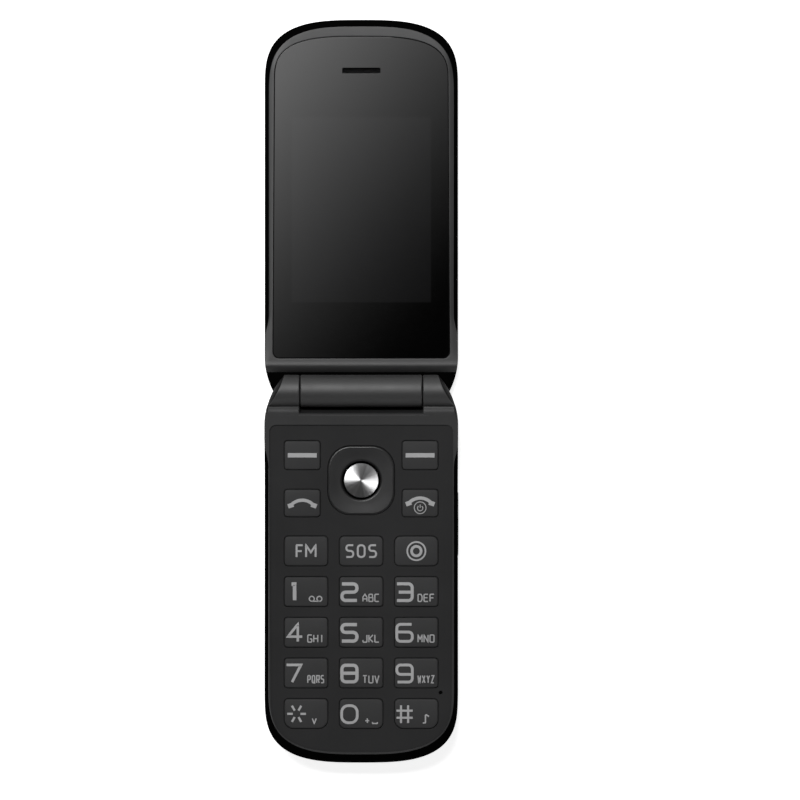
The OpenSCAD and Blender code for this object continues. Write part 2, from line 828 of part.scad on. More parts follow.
module sim_socket()
    color("#c3c5c6")
        difference() {
            base_box(sim_in, sim_x, card_near, card_far, z_deck - sim_t, z_deck);
            base_box(sim_in + 1, sim_x - 1, card_near + 0.8, card_far + 1, z_deck - sim_t + 0.4,
                z_deck - 0.3);
        }

module battery_contacts() {
    blades = 3;
    color("#d2b35a")
        for (i = [0:blades - 1])
            base_box(i * 3 - 3.6, i * 3 - 2.4, battery_near - 1.2, battery_near - 0.15,
                z_deck - 2.2, z_deck);
}

module antenna()
    color("#d6d2c8")
        pad_prism(0, board_far + 1.9, half_w, 2.8, 1, 1, z_deck + 0.2, z_fascia - 0.1);

module base_screws()
    color("#9a9c9e")
        at_base_screws() {
            translate([0, 0, z_bay - 0.8])
                cylinder(r = head_r, h = 0.8);
            translate([0, 0, z_bay - 0.1])
                cylinder(r = screw_r, h = deck_t + 1.8);
        }

// Hinge

// The shaft is fixed in the right ear and carries the cam inside the lid's can
module hinge_shaft()
    color("#a9acae") {
        on_axis(ear_in + 0.1, head_end, pin_r);
        on_axis(spring_from - wire_r, ear_in + 0.2, neck_r);
        on_axis(can_end - can_wall - 0.1 - cam_t, can_end - can_wall - 0.1, cam_r);
    }

// The hollow pin is fixed in the left ear and turns in the knuckle
module hinge_pin()
    color("#a9acae")
        difference() {
            on_axis(-head_end, 0.3 - knuckle_half + journal_len - 0.5, pin_r);
            on_axis(-head_end - 1, 1 - knuckle_half + journal_len, pin_r - 0.7);
        }

module hinge_can()
    color("#8f9294")
        difference() {
            on_axis(can_start, can_end, can_r);
            on_axis(can_start + can_wall, can_end - can_wall, can_in_r);
            on_axis(can_end - can_wall - 1, can_end + 1, neck_r + run_fit);
        }

function coil_at(a) = [spring_from + (spring_to - spring_from) * a / (360 * spring_turns),
    spring_r * cos(a), spring_r * sin(a)];

steps_a_turn = 20;
coil_steps = spring_turns * steps_a_turn;
coil_gap = min([for (i = [0:2:coil_steps]) for (j = [i + steps_a_turn / 2:1:coil_steps])
    norm(coil_at(i * 360 / steps_a_turn) - coil_at(j * 360 / steps_a_turn))]) - 2 * wire_r;
echo(least_spring_gap = coil_gap);

// One wound wire, swept along its helix
module hinge_spring() {
    n = 10;
    points = [for (i = [0:coil_steps]) let (a = i * 360 / steps_a_turn, c = coil_at(a))
        for (j = [0:n - 1]) let (b = j * 360 / n)
            [c[0] + wire_r * sin(b), c[1] + wire_r * cos(b) * cos(a),
             c[2] + wire_r * cos(b) * sin(a)]];
    sides = [for (i = [0:coil_steps - 1]) for (j = [0:n - 1]) let (
        a = i * n + j,
        b = i * n + (j + 1) % n
    ) each [[a, b, b + n], [a, b + n, a + n]]];
    caps = [[for (j = [n - 1:-1:0]) j], [for (j = [0:n - 1]) coil_steps * n + j]];
    color("#c4c6c8")
        translate([0, 0, axis_z])
            polyhedron(points, concat(sides, caps));
}

// The flat cable: a roll in the knuckle and a tail into the lid
module hinge_flex() {
    roll_r = chamber_r - 0.4;
    color("#b5762c")
        union() {
            difference() {
                on_axis(journal_len - knuckle_half + 1, can_start - 0.6, roll_r);
                on_axis(journal_len - knuckle_half, can_start, roll_r - 0.25);
            }
            flex_path(0.25, 6.2);
        }
}

// Straight run of the cable from the roll to the lid's hollow
module flex_path(t, w)
    translate([-8, 2, axis_z - 1.9])
        rotate([-31, 0, 0])
            translate([(6.2 - w) / 2, -0.5, -t / 2])
                cube([w, 6.6, t]);

// Lid

module lid_cover() {
    color("#343842")
        difference() {
            union() {
                difference() {
                    intersection() {
                        lid_form();
                        below(lid_part, lid_rise, 1);
                    }
                    lid_hollow();
                }
                translate([0, camera_s, wall - 0.1])
                    cylinder(r = camera_r + 1, h = 0.6);
                at_lid_screws()
                    translate([0, 0, wall - 0.1])
                        cylinder(r = boss_r, h = z_lid_board - wall + 0.9);
            }
            on_axis(-half_w - 1, half_w + 1, pocket_r);
            translate([0, camera_s, -1])
                cylinder(r = camera_r + seat_fit, h = 1.85);
            translate([0, camera_s, -1])
                cylinder(r = camera_r - 1, h = 4);
            at_lid_screws()
                translate([0, 0, wall + 0.2])
                    cylinder(r = screw_r + seat_fit, h = 4);
        }
}

// Lens outline, grown all round
function lens_points(grow) = let (
    w = lens_w / 2 + grow,
    near = lens_near - grow,
    far = lens_far + grow,
    r = 1.8
) loop(concat(
    [for (i = [0:4]) let (a = 90 * i / 4 - 90)
        [w + lens_flare - r + r * cos(a), near + r + r * sin(a)]],
    [for (i = [0:16]) let (a = 90 * i / 16)
        [w * pow(cos(a), 2 / end_full),
         far - lens_depth + lens_depth * pow(sin(a), 2 / end_full)]]));

// Knuckle profile: the barrel, its foot on the lid and a fillet to the lid's face
module knuckle_profile() {
    up = lid_t + lid_fillet - axis_z;
    c = sqrt(pow(barrel_r + lid_fillet, 2) - up * up);
    share = barrel_r / (barrel_r + lid_fillet);
    foot = lid_part + 0.3;
    difference() {
        polygon([[-lid_overhang, foot], [c, foot], [c, lid_t], [c * share, axis_z + up * share],
            [0, axis_z], [-lid_overhang, axis_z - 3]]);
        translate([c, lid_t + lid_fillet])
            circle(lid_fillet);
    }
    translate([0, axis_z])
        circle(barrel_r);
}

module lid_frame() {
    color("#29292b")
        difference() {
            union() {
                difference() {
                    intersection() {
                        lid_form();
                        above(lid_part, lid_rise, 1);
                    }
                    lid_hollow();
                    for (m = [0, 1])
                        mirror([m, 0, 0])
                            on_axis(knuckle_half, half_w + 1, pocket_r);
                }
                across(-knuckle_half, knuckle_half)
                    knuckle_profile();
            }
            translate([0, 0, z_lens])
                linear_extrude(lens_t + 1)
                    polygon(lens_points(lens_gap));
            lid_box(-view_w / 2 - 1.2, view_w / 2 + 1.2, view_near - 1.2, view_far + 1.2,
                z_ledge - 1, lid_t);
            lid_box(-slot_w / 2 - 0.6, slot_w / 2 + 0.6, slot_s - slot_h / 2 - 0.6,
                slot_s + slot_h / 2 + 0.6, z_ledge + 0.2, lid_t);
            lid_box(-slot_w / 2, slot_w / 2, slot_s - slot_h / 2, slot_s + slot_h / 2,
                z_ledge - 1, lid_t);
            at_lid_screws() {
                translate([0, 0, z_ledge - 0.6])
                    cylinder(r = head_r + 0.2, h = 2);
                translate([0, 0, z_ledge - 2])
                    cylinder(r = screw_r + 0.1, h = 4);
            }
            on_axis(journal_len - knuckle_half, knuckle_half + 1, chamber_r);
            on_axis(-knuckle_half - 1, journal_len, pin_r + run_fit);
            flex_path(0.9, 7.2);
        }
}

module display_lens()
    color("#101114")
        difference() {
            translate([0, 0, z_lens])
                linear_extrude(lens_t)
                    polygon(lens_points(0));
            lid_box(-slot_w / 2, slot_w / 2, slot_s - slot_h / 2, slot_s + slot_h / 2, 0, span);
        }

module display_panel()
    color("#1a1c20")
        lid_box(-view_w / 2 - 3, view_w / 2 + 3, view_near - 1.9, view_far + 5, z_display,
            z_ledge);

module lid_board()
    color("#1f5a3a")
        lid_box(lid_board_side - half_w, half_w - lid_board_side, view_near - 1.5, view_far + 1.5,
            z_lid_board, z_lid_board + lid_board_t);

module receiver()
    color("#4a4a4c")
        translate([0, slot_s, z_ledge - 1.5])
            linear_extrude(1.5)
                pad(receiver_w, receiver_h, 1.2, 1.2);

module receiver_mesh()
    color("#5c5e60")
        lid_box(-slot_w / 2 - 0.5, slot_w / 2 + 0.5, slot_s - slot_h / 2 - 0.5,
            slot_s + slot_h / 2 + 0.5, z_ledge + 0.2, z_ledge + ledge_t);

module camera_module()
    color("#2a2a2c") {
        translate([0, camera_s, wall + 0.5])
            cylinder(r = camera_r - 0.6, h = 1);
        lid_box(0.2 - camera_r, camera_r - 0.2, camera_s - camera_r + 0.2, camera_s + camera_r - 0.2,
            wall + 1.4, z_ledge - 0.2);
    }

module camera_window()
    color("#0c0d10")
        translate([0, camera_s, 0.15])
            cylinder(r = camera_r, h = 0.7);

module lid_screws()
    color("#9a9c9e")
        at_lid_screws() {
            translate([0, 0, z_ledge - 0.6])
                cylinder(r = head_r, h = 0.8);
            translate([0, 0, wall + 0.3])
                cylinder(r = screw_r, h = z_ledge - wall - 0.8);
        }

module lid_magnet()
    color("#8a8c90")
        translate([magnet[0], magnet[1], z_ledge - 1.2])
            cylinder(r = magnet_r, h = 1.2);

battery_cover();
base_frame();
keypad_fascia();
battery();
main_board();
shield_can();
key_domes();
keypad_mat();
nav_web();
nav_ring();
ok_key();
volume_rocker();
side_switch();
usb_socket();
headset_jack();
microphone();
loudspeaker();
vibration_motor();
sim_socket();
battery_contacts();
antenna();
base_screws();
hinge_shaft();
hinge_pin();
lid_cover();
lid_frame();
display_lens();
display_panel();
lid_board();
receiver();
receiver_mesh();
camera_module();
camera_window();
lid_screws();
hinge_can();
hinge_spring();
hinge_flex();
lid_magnet();
for (k = KEYS)
    key_cap(k);
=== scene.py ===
"""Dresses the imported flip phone: shells, keypad, hinge, side controls, inner parts and studio."""

from __future__ import annotations

import json
import logging
import math
from dataclasses import dataclass
from enum import Enum
from typing import ClassVar, Sequence

import bmesh
import bpy
import numpy as np
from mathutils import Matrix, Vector
from mathutils.geometry import delaunay_2d_cdt

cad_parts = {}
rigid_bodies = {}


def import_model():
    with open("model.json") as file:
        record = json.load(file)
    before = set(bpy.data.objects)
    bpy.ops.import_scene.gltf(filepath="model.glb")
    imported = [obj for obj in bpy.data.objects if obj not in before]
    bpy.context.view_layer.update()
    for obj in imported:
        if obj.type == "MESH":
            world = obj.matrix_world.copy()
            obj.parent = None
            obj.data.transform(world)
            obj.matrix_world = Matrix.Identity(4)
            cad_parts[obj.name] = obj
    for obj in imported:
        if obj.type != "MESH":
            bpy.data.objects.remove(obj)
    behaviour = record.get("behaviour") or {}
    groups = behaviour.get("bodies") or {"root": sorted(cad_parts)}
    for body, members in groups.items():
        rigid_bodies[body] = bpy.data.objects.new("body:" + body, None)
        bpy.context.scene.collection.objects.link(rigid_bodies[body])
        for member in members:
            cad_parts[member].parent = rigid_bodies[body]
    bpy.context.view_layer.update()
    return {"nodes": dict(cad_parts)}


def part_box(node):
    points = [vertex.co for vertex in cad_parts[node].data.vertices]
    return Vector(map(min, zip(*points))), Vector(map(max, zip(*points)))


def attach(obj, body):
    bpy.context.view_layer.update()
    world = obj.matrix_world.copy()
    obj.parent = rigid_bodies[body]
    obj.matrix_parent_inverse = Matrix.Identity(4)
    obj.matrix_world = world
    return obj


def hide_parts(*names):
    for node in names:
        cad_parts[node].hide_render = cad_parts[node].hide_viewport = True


LOG = logging.getLogger("flip_phone")
MM = 0.001
AXIS_Z = 8.6
BARREL_R = 4.25
TINY = 1e-12
Array = np.ndarray
Material = bpy.types.Material
Node = bpy.types.Node
Object = bpy.types.Object
Socket = bpy.types.NodeSocket
Tree = bpy.types.NodeTree
Pair = tuple[float, float]
Pairs = tuple[Pair, ...]
Triple = tuple[float, float, float]


# Shared arithmetic


def smooth(t: Array) -> Array:
    """Returns the smooth step of t, held between 0 and 1."""
    t = np.clip(t, 0.0, 1.0)
    return t * t * (3.0 - 2.0 * t)


def reach(radius: float, z: Array) -> Array:
    """Returns how far a round profile has come in at height z above its tangent face."""
    return np.sqrt(np.maximum(2.0 * radius * z - z * z, 0.0))


def for_each(value: Array | float, n: int) -> Array:
    """Returns a value for each of n points."""
    return np.broadcast_to(np.asarray(value, float), (n,))


def unit(rows: Array) -> Array:
    """Returns each row at length 1."""
    return rows / (np.linalg.norm(rows, axis=1)[:, None] + TINY)


def raised(loop: Array, z: Array | float) -> Array:
    """Returns flat points [x, y] with a height added to each."""
    return np.column_stack([loop, for_each(z, len(loop))])


def across(section: Array, x: Array | float) -> Array:
    """Returns the points [y, z] of a section put at x across the phone."""
    return np.column_stack([for_each(x, len(section)), section])


def circle(r: float, n: int) -> Array:
    """Returns n points evenly round the origin."""
    a = np.linspace(0.0, 2 * math.pi, n, endpoint=False)
    return r * np.column_stack([np.cos(a), np.sin(a)])


def barrel_arc(first: float, last: float, n: int) -> Array:
    """Returns n points [y, z] on the hinge barrel between two angles in degrees."""
    a = np.radians(np.linspace(first, last, n))
    return np.column_stack([BARREL_R * np.cos(a), AXIS_Z + BARREL_R * np.sin(a)])


def quarter_round(steps: int) -> list[Pair]:
    """Returns how far in and down a quarter round is, in radii, from its side to its top."""
    turns = [math.pi / 2 * k / steps for k in range(steps + 1)]
    return [(1 - math.cos(a), 1 - math.sin(a)) for a in turns]


def pad_loop(
    w: float, h: float, r: float, foot_r: float | None = None, n: int = 7, mid: int = 5
) -> Array:
    """Returns a rounded rectangle about the origin, turning left.

    Args:
        w: Width along x.
        h: Height along y.
        r: Corner radius.
        foot_r: Another corner radius at the foot end.
        n: Steps in each corner.
        mid: Extra points on each straight side.

    Returns:
        Points [x, y].
    """
    foot = r if foot_r is None else foot_r
    arcs, points = [], []
    for k, (sx, sy, rad) in enumerate(((1, 1, r), (-1, 1, r), (-1, -1, foot), (1, -1, foot))):
        a = np.radians(90.0 * k + np.linspace(0.0, 90.0, n + 1))
        middle = np.array([sx * (w / 2 - rad), sy * (h / 2 - rad)])
        arcs.append(middle + rad * np.column_stack([np.cos(a), np.sin(a)]))
    t = np.linspace(0.0, 1.0, mid + 2)[1:-1, None]
    for k, arc in enumerate(arcs):
        points += [arc, arc[-1] * (1 - t) + arcs[(k + 1) % 4][0] * t]
    return np.concatenate(points)


def side_steps(run: Array, closed: bool = True) -> Array:
    """Returns the step to the left, at each point of a flat run, that moves its sides by 1.

    Args:
        run: Points [x, y].
        closed: Whether the run closes.

    Returns:
        Steps [x, y], longer at the corners, so that the sides stay parallel.
    """
    before, after = np.roll(run, 1, axis=0), np.roll(run, -1, axis=0)
    if not closed:
        before[0], after[-1] = run[0], run[-1]
    a, b = unit(run - before), unit(after - run)
    way = unit(np.column_stack([-(a[:, 1] + b[:, 1]), a[:, 0] + b[:, 0]]))
    if not closed:
        a = np.where(np.linalg.norm(a, axis=1)[:, None] > 0.5, a, b)
    share = np.abs(way[:, 1] * a[:, 0] - way[:, 0] * a[:, 1])
    return way / np.clip(share, 0.5, 1.0)[:, None]


def moved_in(loop: Array, distance: Array | float) -> Array:
    """Returns a left-turning flat loop moved towards its inside."""
    return loop + side_steps(loop) * for_each(distance, len(loop))[:, None]


def bend(
    c: Array, a: Array, b: Array, run: Array | float, weight: Array | float, steps: int = 5
) -> list[Array]:
    """Returns the points of a rounded corner.

    Args:
        c: The corner.
        a: Unit direction to the point before it.
        b: Unit direction to the point after it.
        run: Distance from the corner to the start of its rounding.
        weight: Sine of half the angle between the two directions.
        steps: Steps in the rounding.

    Returns:
        The points in order.
    """
    points = []
    for f in np.linspace(0.0, 1.0, steps + 1):
        p, q, r = (1 - f) ** 2, 2 * f * (1 - f) * weight, f * f
        points.append((p * (c + a * run) + q * c + r * (c + b * run)) / (p + q + r))
    return points


@dataclass
class Corner:
    """One corner of a shell's section, repeated round the outline.

    Attributes:
        points: The corner's place at each step of the outline.
        radius: Rounding radius, or 0 to keep the corner.
        tag: Material index of the face that follows the corner.
    """

    points: Array
    radius: Array | float = 0.0
    tag: int = 0


def rounded_section(
    corners: Sequence[Corner], closed: bool, steps: int = 5
) -> tuple[list[Array], list[int]]:
    """Rounds the corners of a section that runs round an outline.

    Args:
        corners: The section's corners in order.
        closed: Whether the last corner joins the first.
        steps: Steps in each rounding.

    Returns:
        The rings of points and the material index after each ring.
    """
    rings: list[Array] = []
    tags: list[int] = []
    last = len(corners) - 1
    for i, corner in enumerate(corners):
        c = corner.points
        made = [c]
        if (closed or 0 < i < last) and np.max(corner.radius) > 0:
            a, b = corners[i - 1].points - c, corners[(i + 1) % (last + 1)].points - c
            la, lb = (np.linalg.norm(v, axis=1)[:, None] for v in (a, b))
            a, b = a / (la + TINY), b / (lb + TINY)
            half = 0.5 * np.arccos(np.clip(np.sum(a * b, axis=1), -1.0, 1.0))[:, None]
            run = for_each(corner.radius, len(c))[:, None] / np.tan(np.clip(half, 0.05, 1.55))
            run = np.minimum(run, 0.46 * np.minimum(la, lb))
            made = bend(c, a, b, run, np.sin(half), steps)
        rings += made
        tags += [corner.tag] * len(made)
    return rings, tags


# Meshes and pieces


class Caps(Enum):
    """Ends of a skin that a flat face closes, by the number of their ring."""

    NONE = ()
    START = (0,)
    BOTH = (0, -1)


class MeshBook:
    """Collects the points and faces of one piece, in millimetres, before it becomes a mesh."""

    def __init__(self) -> None:
        """Starts with nothing collected."""
        self.points: list[Array] = []
        self.faces: list[tuple[int, ...]] = []
        self.tags: list[int] = []
        self.count = 0

    def add(self, points: Array, faces: Sequence[Sequence[int]], tag: int = 0) -> None:
        """Adds loose points and faces.

        Args:
            points: Points [x, y, z].
            faces: Point numbers of each face.
            tag: Material index of the faces.
        """
        self.points.append(points)
        self.faces.extend(tuple(int(i) + self.count for i in f) for f in faces)
        self.tags.extend([tag] * len(faces))
        self.count += len(points)

    def loft(
        self,
        rings: Sequence[Array],
        tags: Sequence[int] | int = 0,
        closed: bool = False,
        caps: Caps = Caps.NONE,
    ) -> None:
        """Joins rings of equal length into a skin.

        Args:
            rings: Rings of points [x, y, z].
            tags: Material index after each ring, or one for all.
            closed: Whether the last ring joins the first.
            caps: The ends that are closed.
        """
        n, base, total = len(rings[0]), self.count, len(rings)
        marks = [tags] * total if isinstance(tags, int) else tags
        self.points.extend(rings)
        self.count += n * total
        j = np.arange(n)
        nxt = (j + 1) % n
        for k in range(total if closed else total - 1):
            a, b = base + k * n, base + ((k + 1) % total) * n
            quads = np.column_stack([a + j, a + nxt, b + nxt, b + j])
            self.faces.extend(map(tuple, quads.tolist()))
            self.tags.extend([marks[k]] * n)
        for k in (end % total for end in caps.value):
            self.faces.append(tuple(range(base + k * n, base + (k + 1) * n)))
            self.tags.append(marks[min(k, len(marks) - 1)])

    def fan(self, rings: Sequence[Array], middle: Triple, tags: Sequence[int] | int = 0) -> None:
        """Joins rings into a skin that starts with a flat face and ends in a point.

        Args:
            rings: Rings of points [x, y, z].
            middle: The point.
            tags: Material index after each ring, or one for all.
        """
        self.loft(rings, tags, caps=Caps.START)
        n = len(rings[0])
        last = self.count - n
        self.points.append(np.asarray(middle, float).reshape(1, 3))
        self.faces.extend((last + i, last + (i + 1) % n, self.count) for i in range(n))
        self.tags.extend([tags if isinstance(tags, int) else tags[-1]] * n)
        self.count += 1

    def turn(
        self, at: Pair, steps: Sequence[Sequence[float]], top: float, n: int
    ) -> None:
        """Adds an upright turned form, by radius, height and material index of each ring."""
        rings = [raised(circle(r, n) + at, z) for r, z, *_ in steps]
        self.fan(rings, (*at, top), [tag[0] if tag else 0 for _, _, *tag in steps])

    def wrap(self, corners: Sequence[Corner]) -> None:
        """Adds a closed section that runs round an outline."""
        rings, tags = rounded_section(corners, closed=True)
        self.loft(rings, tags, closed=True)

    def make(self, name: str, materials: Sequence[Material]) -> Object:
        """Makes the collected piece an object in the scene.

        Args:
            name: The piece's name.
            materials: Materials in the order of the material indices.

        Returns:
            The new object, at the origin, with its faces pointing outwards.
        """
        mesh = bpy.data.meshes.new(name)
        mesh.from_pydata((np.concatenate(self.points) * MM).tolist(), [], self.faces)
        mesh.polygons.foreach_set("material_index", self.tags)
        work = bmesh.new()
        work.from_mesh(mesh)
        bmesh.ops.remove_doubles(work, verts=work.verts, dist=2e-7)
        bmesh.ops.dissolve_degenerate(work, edges=work.edges, dist=1e-7)
        bmesh.ops.recalc_face_normals(work, faces=work.faces)
        work.to_mesh(mesh)
        work.free()
        for m in materials:
            mesh.materials.append(m)
        return linked(name, mesh)


def linked(name: str, data: bpy.types.ID) -> Object:
    """Returns a new object in the scene.

    Args:
        name: The object's name.
        data: Its mesh, lamp or camera.

    Returns:
        The object.
    """
    obj = bpy.data.objects.new(name, data)
    bpy.context.scene.collection.objects.link(obj)
    return obj


def settle(obj: Object) -> None:
    """Turns an object's modifiers into its plain mesh.

    Args:
        obj: The object.
    """
    graph = bpy.context.evaluated_depsgraph_get()
    mesh = bpy.data.meshes.new_from_object(
        obj.evaluated_get(graph), preserve_all_data_layers=True, depsgraph=graph
    )
    old = obj.data
    obj.modifiers.clear()
    obj.data = mesh
    bpy.data.meshes.remove(old)
    mesh.name = obj.name


def cut_away(obj: Object, holes: MeshBook) -> None:
    """Cuts holes into an object.

    Args:
        obj: The object.
        holes: The forms that are cut out.
    """
    cutter = holes.make(obj.name + "_cut", [])
    step = obj.modifiers.new("cut", "BOOLEAN")
    step.operation, step.solver, step.object = "DIFFERENCE", "EXACT", cutter
    settle(obj)
    mesh = cutter.data
    bpy.data.objects.remove(cutter)
    bpy.data.meshes.remove(mesh)


def soften(obj: Object, angle: float, flats: bool = False) -> None:
    """Shades a piece smooth up to an edge angle, with its large faces kept flat.

    Args:
        obj: The piece.
        angle: Largest angle in degrees that is shaded smooth.
        flats: Whether level faces keep their own normals up to their edges.
    """
    obj.data.polygons.foreach_set("use_smooth", [True] * len(obj.data.polygons))
    obj.data.set_sharp_from_angle(angle=math.radians(angle))
    if flats:
        work = bmesh.new()
        work.from_mesh(obj.data)
        for edge in work.edges:
            level = [abs(f.normal.z) > 0.9999 for f in edge.link_faces]
            if any(level) and not all(level):
                edge.smooth = False
        work.to_mesh(obj.data)
        work.free()
    step = obj.modifiers.new("normals", "WEIGHTED_NORMAL")
    step.mode, step.weight, step.keep_sharp = "FACE_AREA", 50, True
    settle(obj)


def place(
    obj: Object, body: str, slot: str, *nodes: str, angle: float | None = 38.0, flats: bool = False
) -> None:
    """Shades a finished piece and hands it to its body.

    Args:
        obj: The piece.
        body: The body that carries it.
        slot: A material slot name; it is not used.
        nodes: The nodes that it stands for.
        angle: Largest angle that is shaded smooth, or None for a piece that is shaded already.
        flats: Whether level faces keep their own normals up to their edges.
    """
    if angle is not None:
        soften(obj, angle, flats)
    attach(obj, body)
    if nodes:
        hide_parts(*nodes)
    LOG.info("%s rides on %s with %d faces", obj.name, body, len(obj.data.polygons))


# Form of the two halves


class Half(Enum):
    """The two halves, with the sign of y that each runs towards from the hinge."""

    BASE = -1
    LID = 1


@dataclass(frozen=True)
class ShellForm:
    """How the outline of one half changes with height, in millimetres.

    Attributes:
        half: Which half this is.
        near: Distance of the hinge end from the axis.
        top: Height of the inner face.
        edge_z: Height where the outer bevel starts.
        side_top: Height where the rounded side ends.
        side_round: How far the side comes in at the table.
        end_r: Radius of the free end's round underside.
        end_bevel: How far the free end comes in up to the inner face.
        heel_r: Radius of the hinge end's round underside.
        heel_z: Height where that round ends.
        heel_round: How far the hinge end is rounded above it.
        heel_rise: Height of that rounding.
        part: Height of the parting plane at the axis.
        part_rise: How much the parting plane climbs to the free end.
    """

    half: Half
    near: float
    top: float
    edge_z: float
    side_top: float
    side_round: float
    end_r: float
    end_bevel: float
    heel_r: float
    heel_z: float
    heel_round: float
    heel_rise: float
    part: float
    part_rise: float
    half_w: float = 25.5
    half_len: float = 98.0
    end_depth: float = 18.0
    end_full: float = 3.1
    flare_r: float = 19.6
    flare_s: float = 9.0
    rim_bevel: float = 1.2
    bevel_from: float = 4.0
    bevel_run: float = 7.0
    edge_steps: int = 18
    flare_steps: int = 30
    side_steps: int = 26
    fine_steps: int = 10
    fine_first: float = 1.3
    fine_run: float = 12.5
    end_steps: int = 34

    @property
    def right_count(self) -> int:
        """Number of points on the right side, both middle points included."""
        return self.edge_steps + self.flare_steps + 1 + self.side_steps + self.end_steps + 1

    def width(self, z: Array) -> Array:
        """Returns half the width at height z."""
        low = np.clip(1.0 - z / self.side_top, 0.0, 1.0)
        return self.half_w - self.side_round * (1.0 - np.sqrt(1.0 - low**2))

    def rise(self, z: Array) -> Array:
        """Returns how far up the outer bevel height z is, from 0 to 1."""
        return np.clip((z - self.edge_z) / (self.top - self.edge_z), 0.0, 1.0)

    @staticmethod
    def under(radius: float, top: float, z: Array) -> Array:
        """Returns how far a round underside that ends at a height has come in at height z."""
        return reach(radius, np.asarray(top)) - reach(radius, np.clip(z, 0.0, top))

    def far(self, z: Array) -> Array:
        """Returns the distance of the free end from the axis at height z."""
        under = self.under(self.end_r, self.edge_z, z)
        return self.half_len - under - self.end_bevel * self.rise(z)

    def hinge(self, z: Array) -> Array:
        """Returns the distance of the hinge end from the axis at height z."""
        lift = np.clip(1.0 - (z - self.heel_z) / self.heel_rise, 0.0, 1.0)
        return self.near + self.under(self.heel_r, self.heel_z, z) + self.heel_round * lift**2

    def end_curve(self) -> tuple[Array, Array]:
        """Returns the shares of width and depth along the free end, from side to middle."""
        a = np.linspace(0.0, math.pi / 2, self.end_steps + 1)
        return tuple(np.clip(f(a), 0, 1) ** (2 / self.end_full) for f in (np.cos, np.sin))

    def outline(
        self,
        z: Array | float,
        shrink: float = 0.0,
        near: float | None = None,
        start: float | None = None,
    ) -> Array:
        """Returns the right side of the outline, from the middle of the hinge end to the free end.

        Args:
            z: Height, or a height for each point.
            shrink: How far the outline lies inside the outer face.
            near: Another place for the hinge end.
            start: Where the hinge end is cut off, with the flare kept.

        Returns:
            Points [x, s].
        """
        z = for_each(z, self.right_count)
        counts = [0, self.edge_steps, self.flare_steps + 1, self.side_steps, self.end_steps + 1]
        ends = np.cumsum(counts)
        edge, flare, side, end = (slice(ends[i], ends[i + 1]) for i in range(4))
        w, far, deep = self.width(z) - shrink, self.far(z) - 1.5 * shrink, self.end_depth - shrink
        begin = self.hinge(z) + shrink if near is None else np.full(z.shape, near)
        low = begin if start is None else np.full(z.shape, start)
        tangent = (begin if start is None else self.hinge(z)) + self.flare_s - self.near
        turn = np.arcsin(np.clip((tangent - low) / self.flare_r, -1.0, 1.0))
        inset = np.zeros_like(z) if shrink else self.rim_bevel * self.rise(z)
        x, s = np.zeros_like(z), np.zeros_like(z)
        corner = (w - self.flare_r + self.flare_r * np.cos(turn))[edge]
        x[edge] = corner * np.linspace(0.0, 1.0, self.edge_steps + 1)[:-1]
        s[edge] = low[edge]
        a = -turn[flare] * np.linspace(1.0, 0.0, self.flare_steps + 1)
        x[flare] = w[flare] - self.flare_r + self.flare_r * np.cos(a)
        s[flare] = tangent[flare] + self.flare_r * np.sin(a)
        fine, coarse, run = self.fine_steps, self.side_steps - self.fine_steps, self.fine_run
        steps = np.concatenate([np.linspace(self.fine_first, run, fine), np.full(coarse, run)])
        u = np.concatenate([np.zeros(fine), np.linspace(0, 1, coarse + 2)[1:-1]])
        s[side] = tangent[side] + steps + u * (far[side] - deep - tangent[side] - run)
        bevelled = smooth((s[side] - tangent[side] - self.bevel_from) / self.bevel_run)
        x[side] = w[side] - inset[side] * bevelled
        across_end, along_end = self.end_curve()
        x[end] = (w - inset)[end] * across_end
        s[end] = far[end] - deep + deep * along_end
        return np.column_stack([x, s])

    def parting(self, gap: float = 0.0) -> Array:
        """Returns the height of the parting plane at each point of the right side.

        Args:
            gap: Height above the plane.

        Returns:
            The heights.
        """
        z = np.full(self.right_count, self.part)
        for _ in range(25):
            z = self.part + gap + self.part_rise * self.outline(z)[:, 1] / self.half_len
        return z

    def ring(self, right: Array, z: Array | float) -> Array:
        """Returns the whole ring [x, y, z] from its right side [x, s] and height."""
        points = raised(right * [1.0, self.half.value], z)
        return np.concatenate([points, points[-2:0:-1] * [-1.0, 1.0, 1.0]])

    def both(self, right: Array) -> Array:
        """Returns a value for each point of the whole ring from its right side."""
        return np.concatenate([right, right[-2:0:-1]])

    def corner(self, z: Array, radius: float = 0.0, tag: int = 0) -> Corner:
        """Returns a corner of a section that lies on the outer face at height z."""
        return Corner(self.ring(self.outline(z), z), radius, tag)

    def window(
        self, w: float, flare: float, near: float, far: float, deep: float, r: float
    ) -> Array:
        """Returns the right side of an inner window, in step with the outline.

        Args:
            w: Half width at the free end.
            flare: How much wider the hinge end is.
            near: Distance of the hinge-end edge from the axis.
            far: Distance of the free-end edge from the axis.
            deep: Depth of the rounded free end.
            r: Corner radius at the hinge end.

        Returns:
            Points [x, s].
        """
        top = w + flare
        edge = raised((top - r) * np.linspace(0, 1, self.edge_steps + 1)[:-1, None], near)
        a = np.radians(np.linspace(-90.0, 0.0, self.flare_steps + 1))
        corner = np.column_stack([top - r + r * np.cos(a), near + r + r * np.sin(a)])
        t = np.linspace(0, 1, self.side_steps + 2)[1:-1]
        t = np.where(t < 0.4, t * 0.5, 0.2 + (t - 0.4) / 0.6 * 0.8)
        side = np.column_stack([top - flare * t, near + r + t * (far - deep - near - r)])
        across_end, along_end = self.end_curve()
        end = np.column_stack([w * across_end, far - deep + deep * along_end])
        return np.concatenate([edge, corner, side, end])

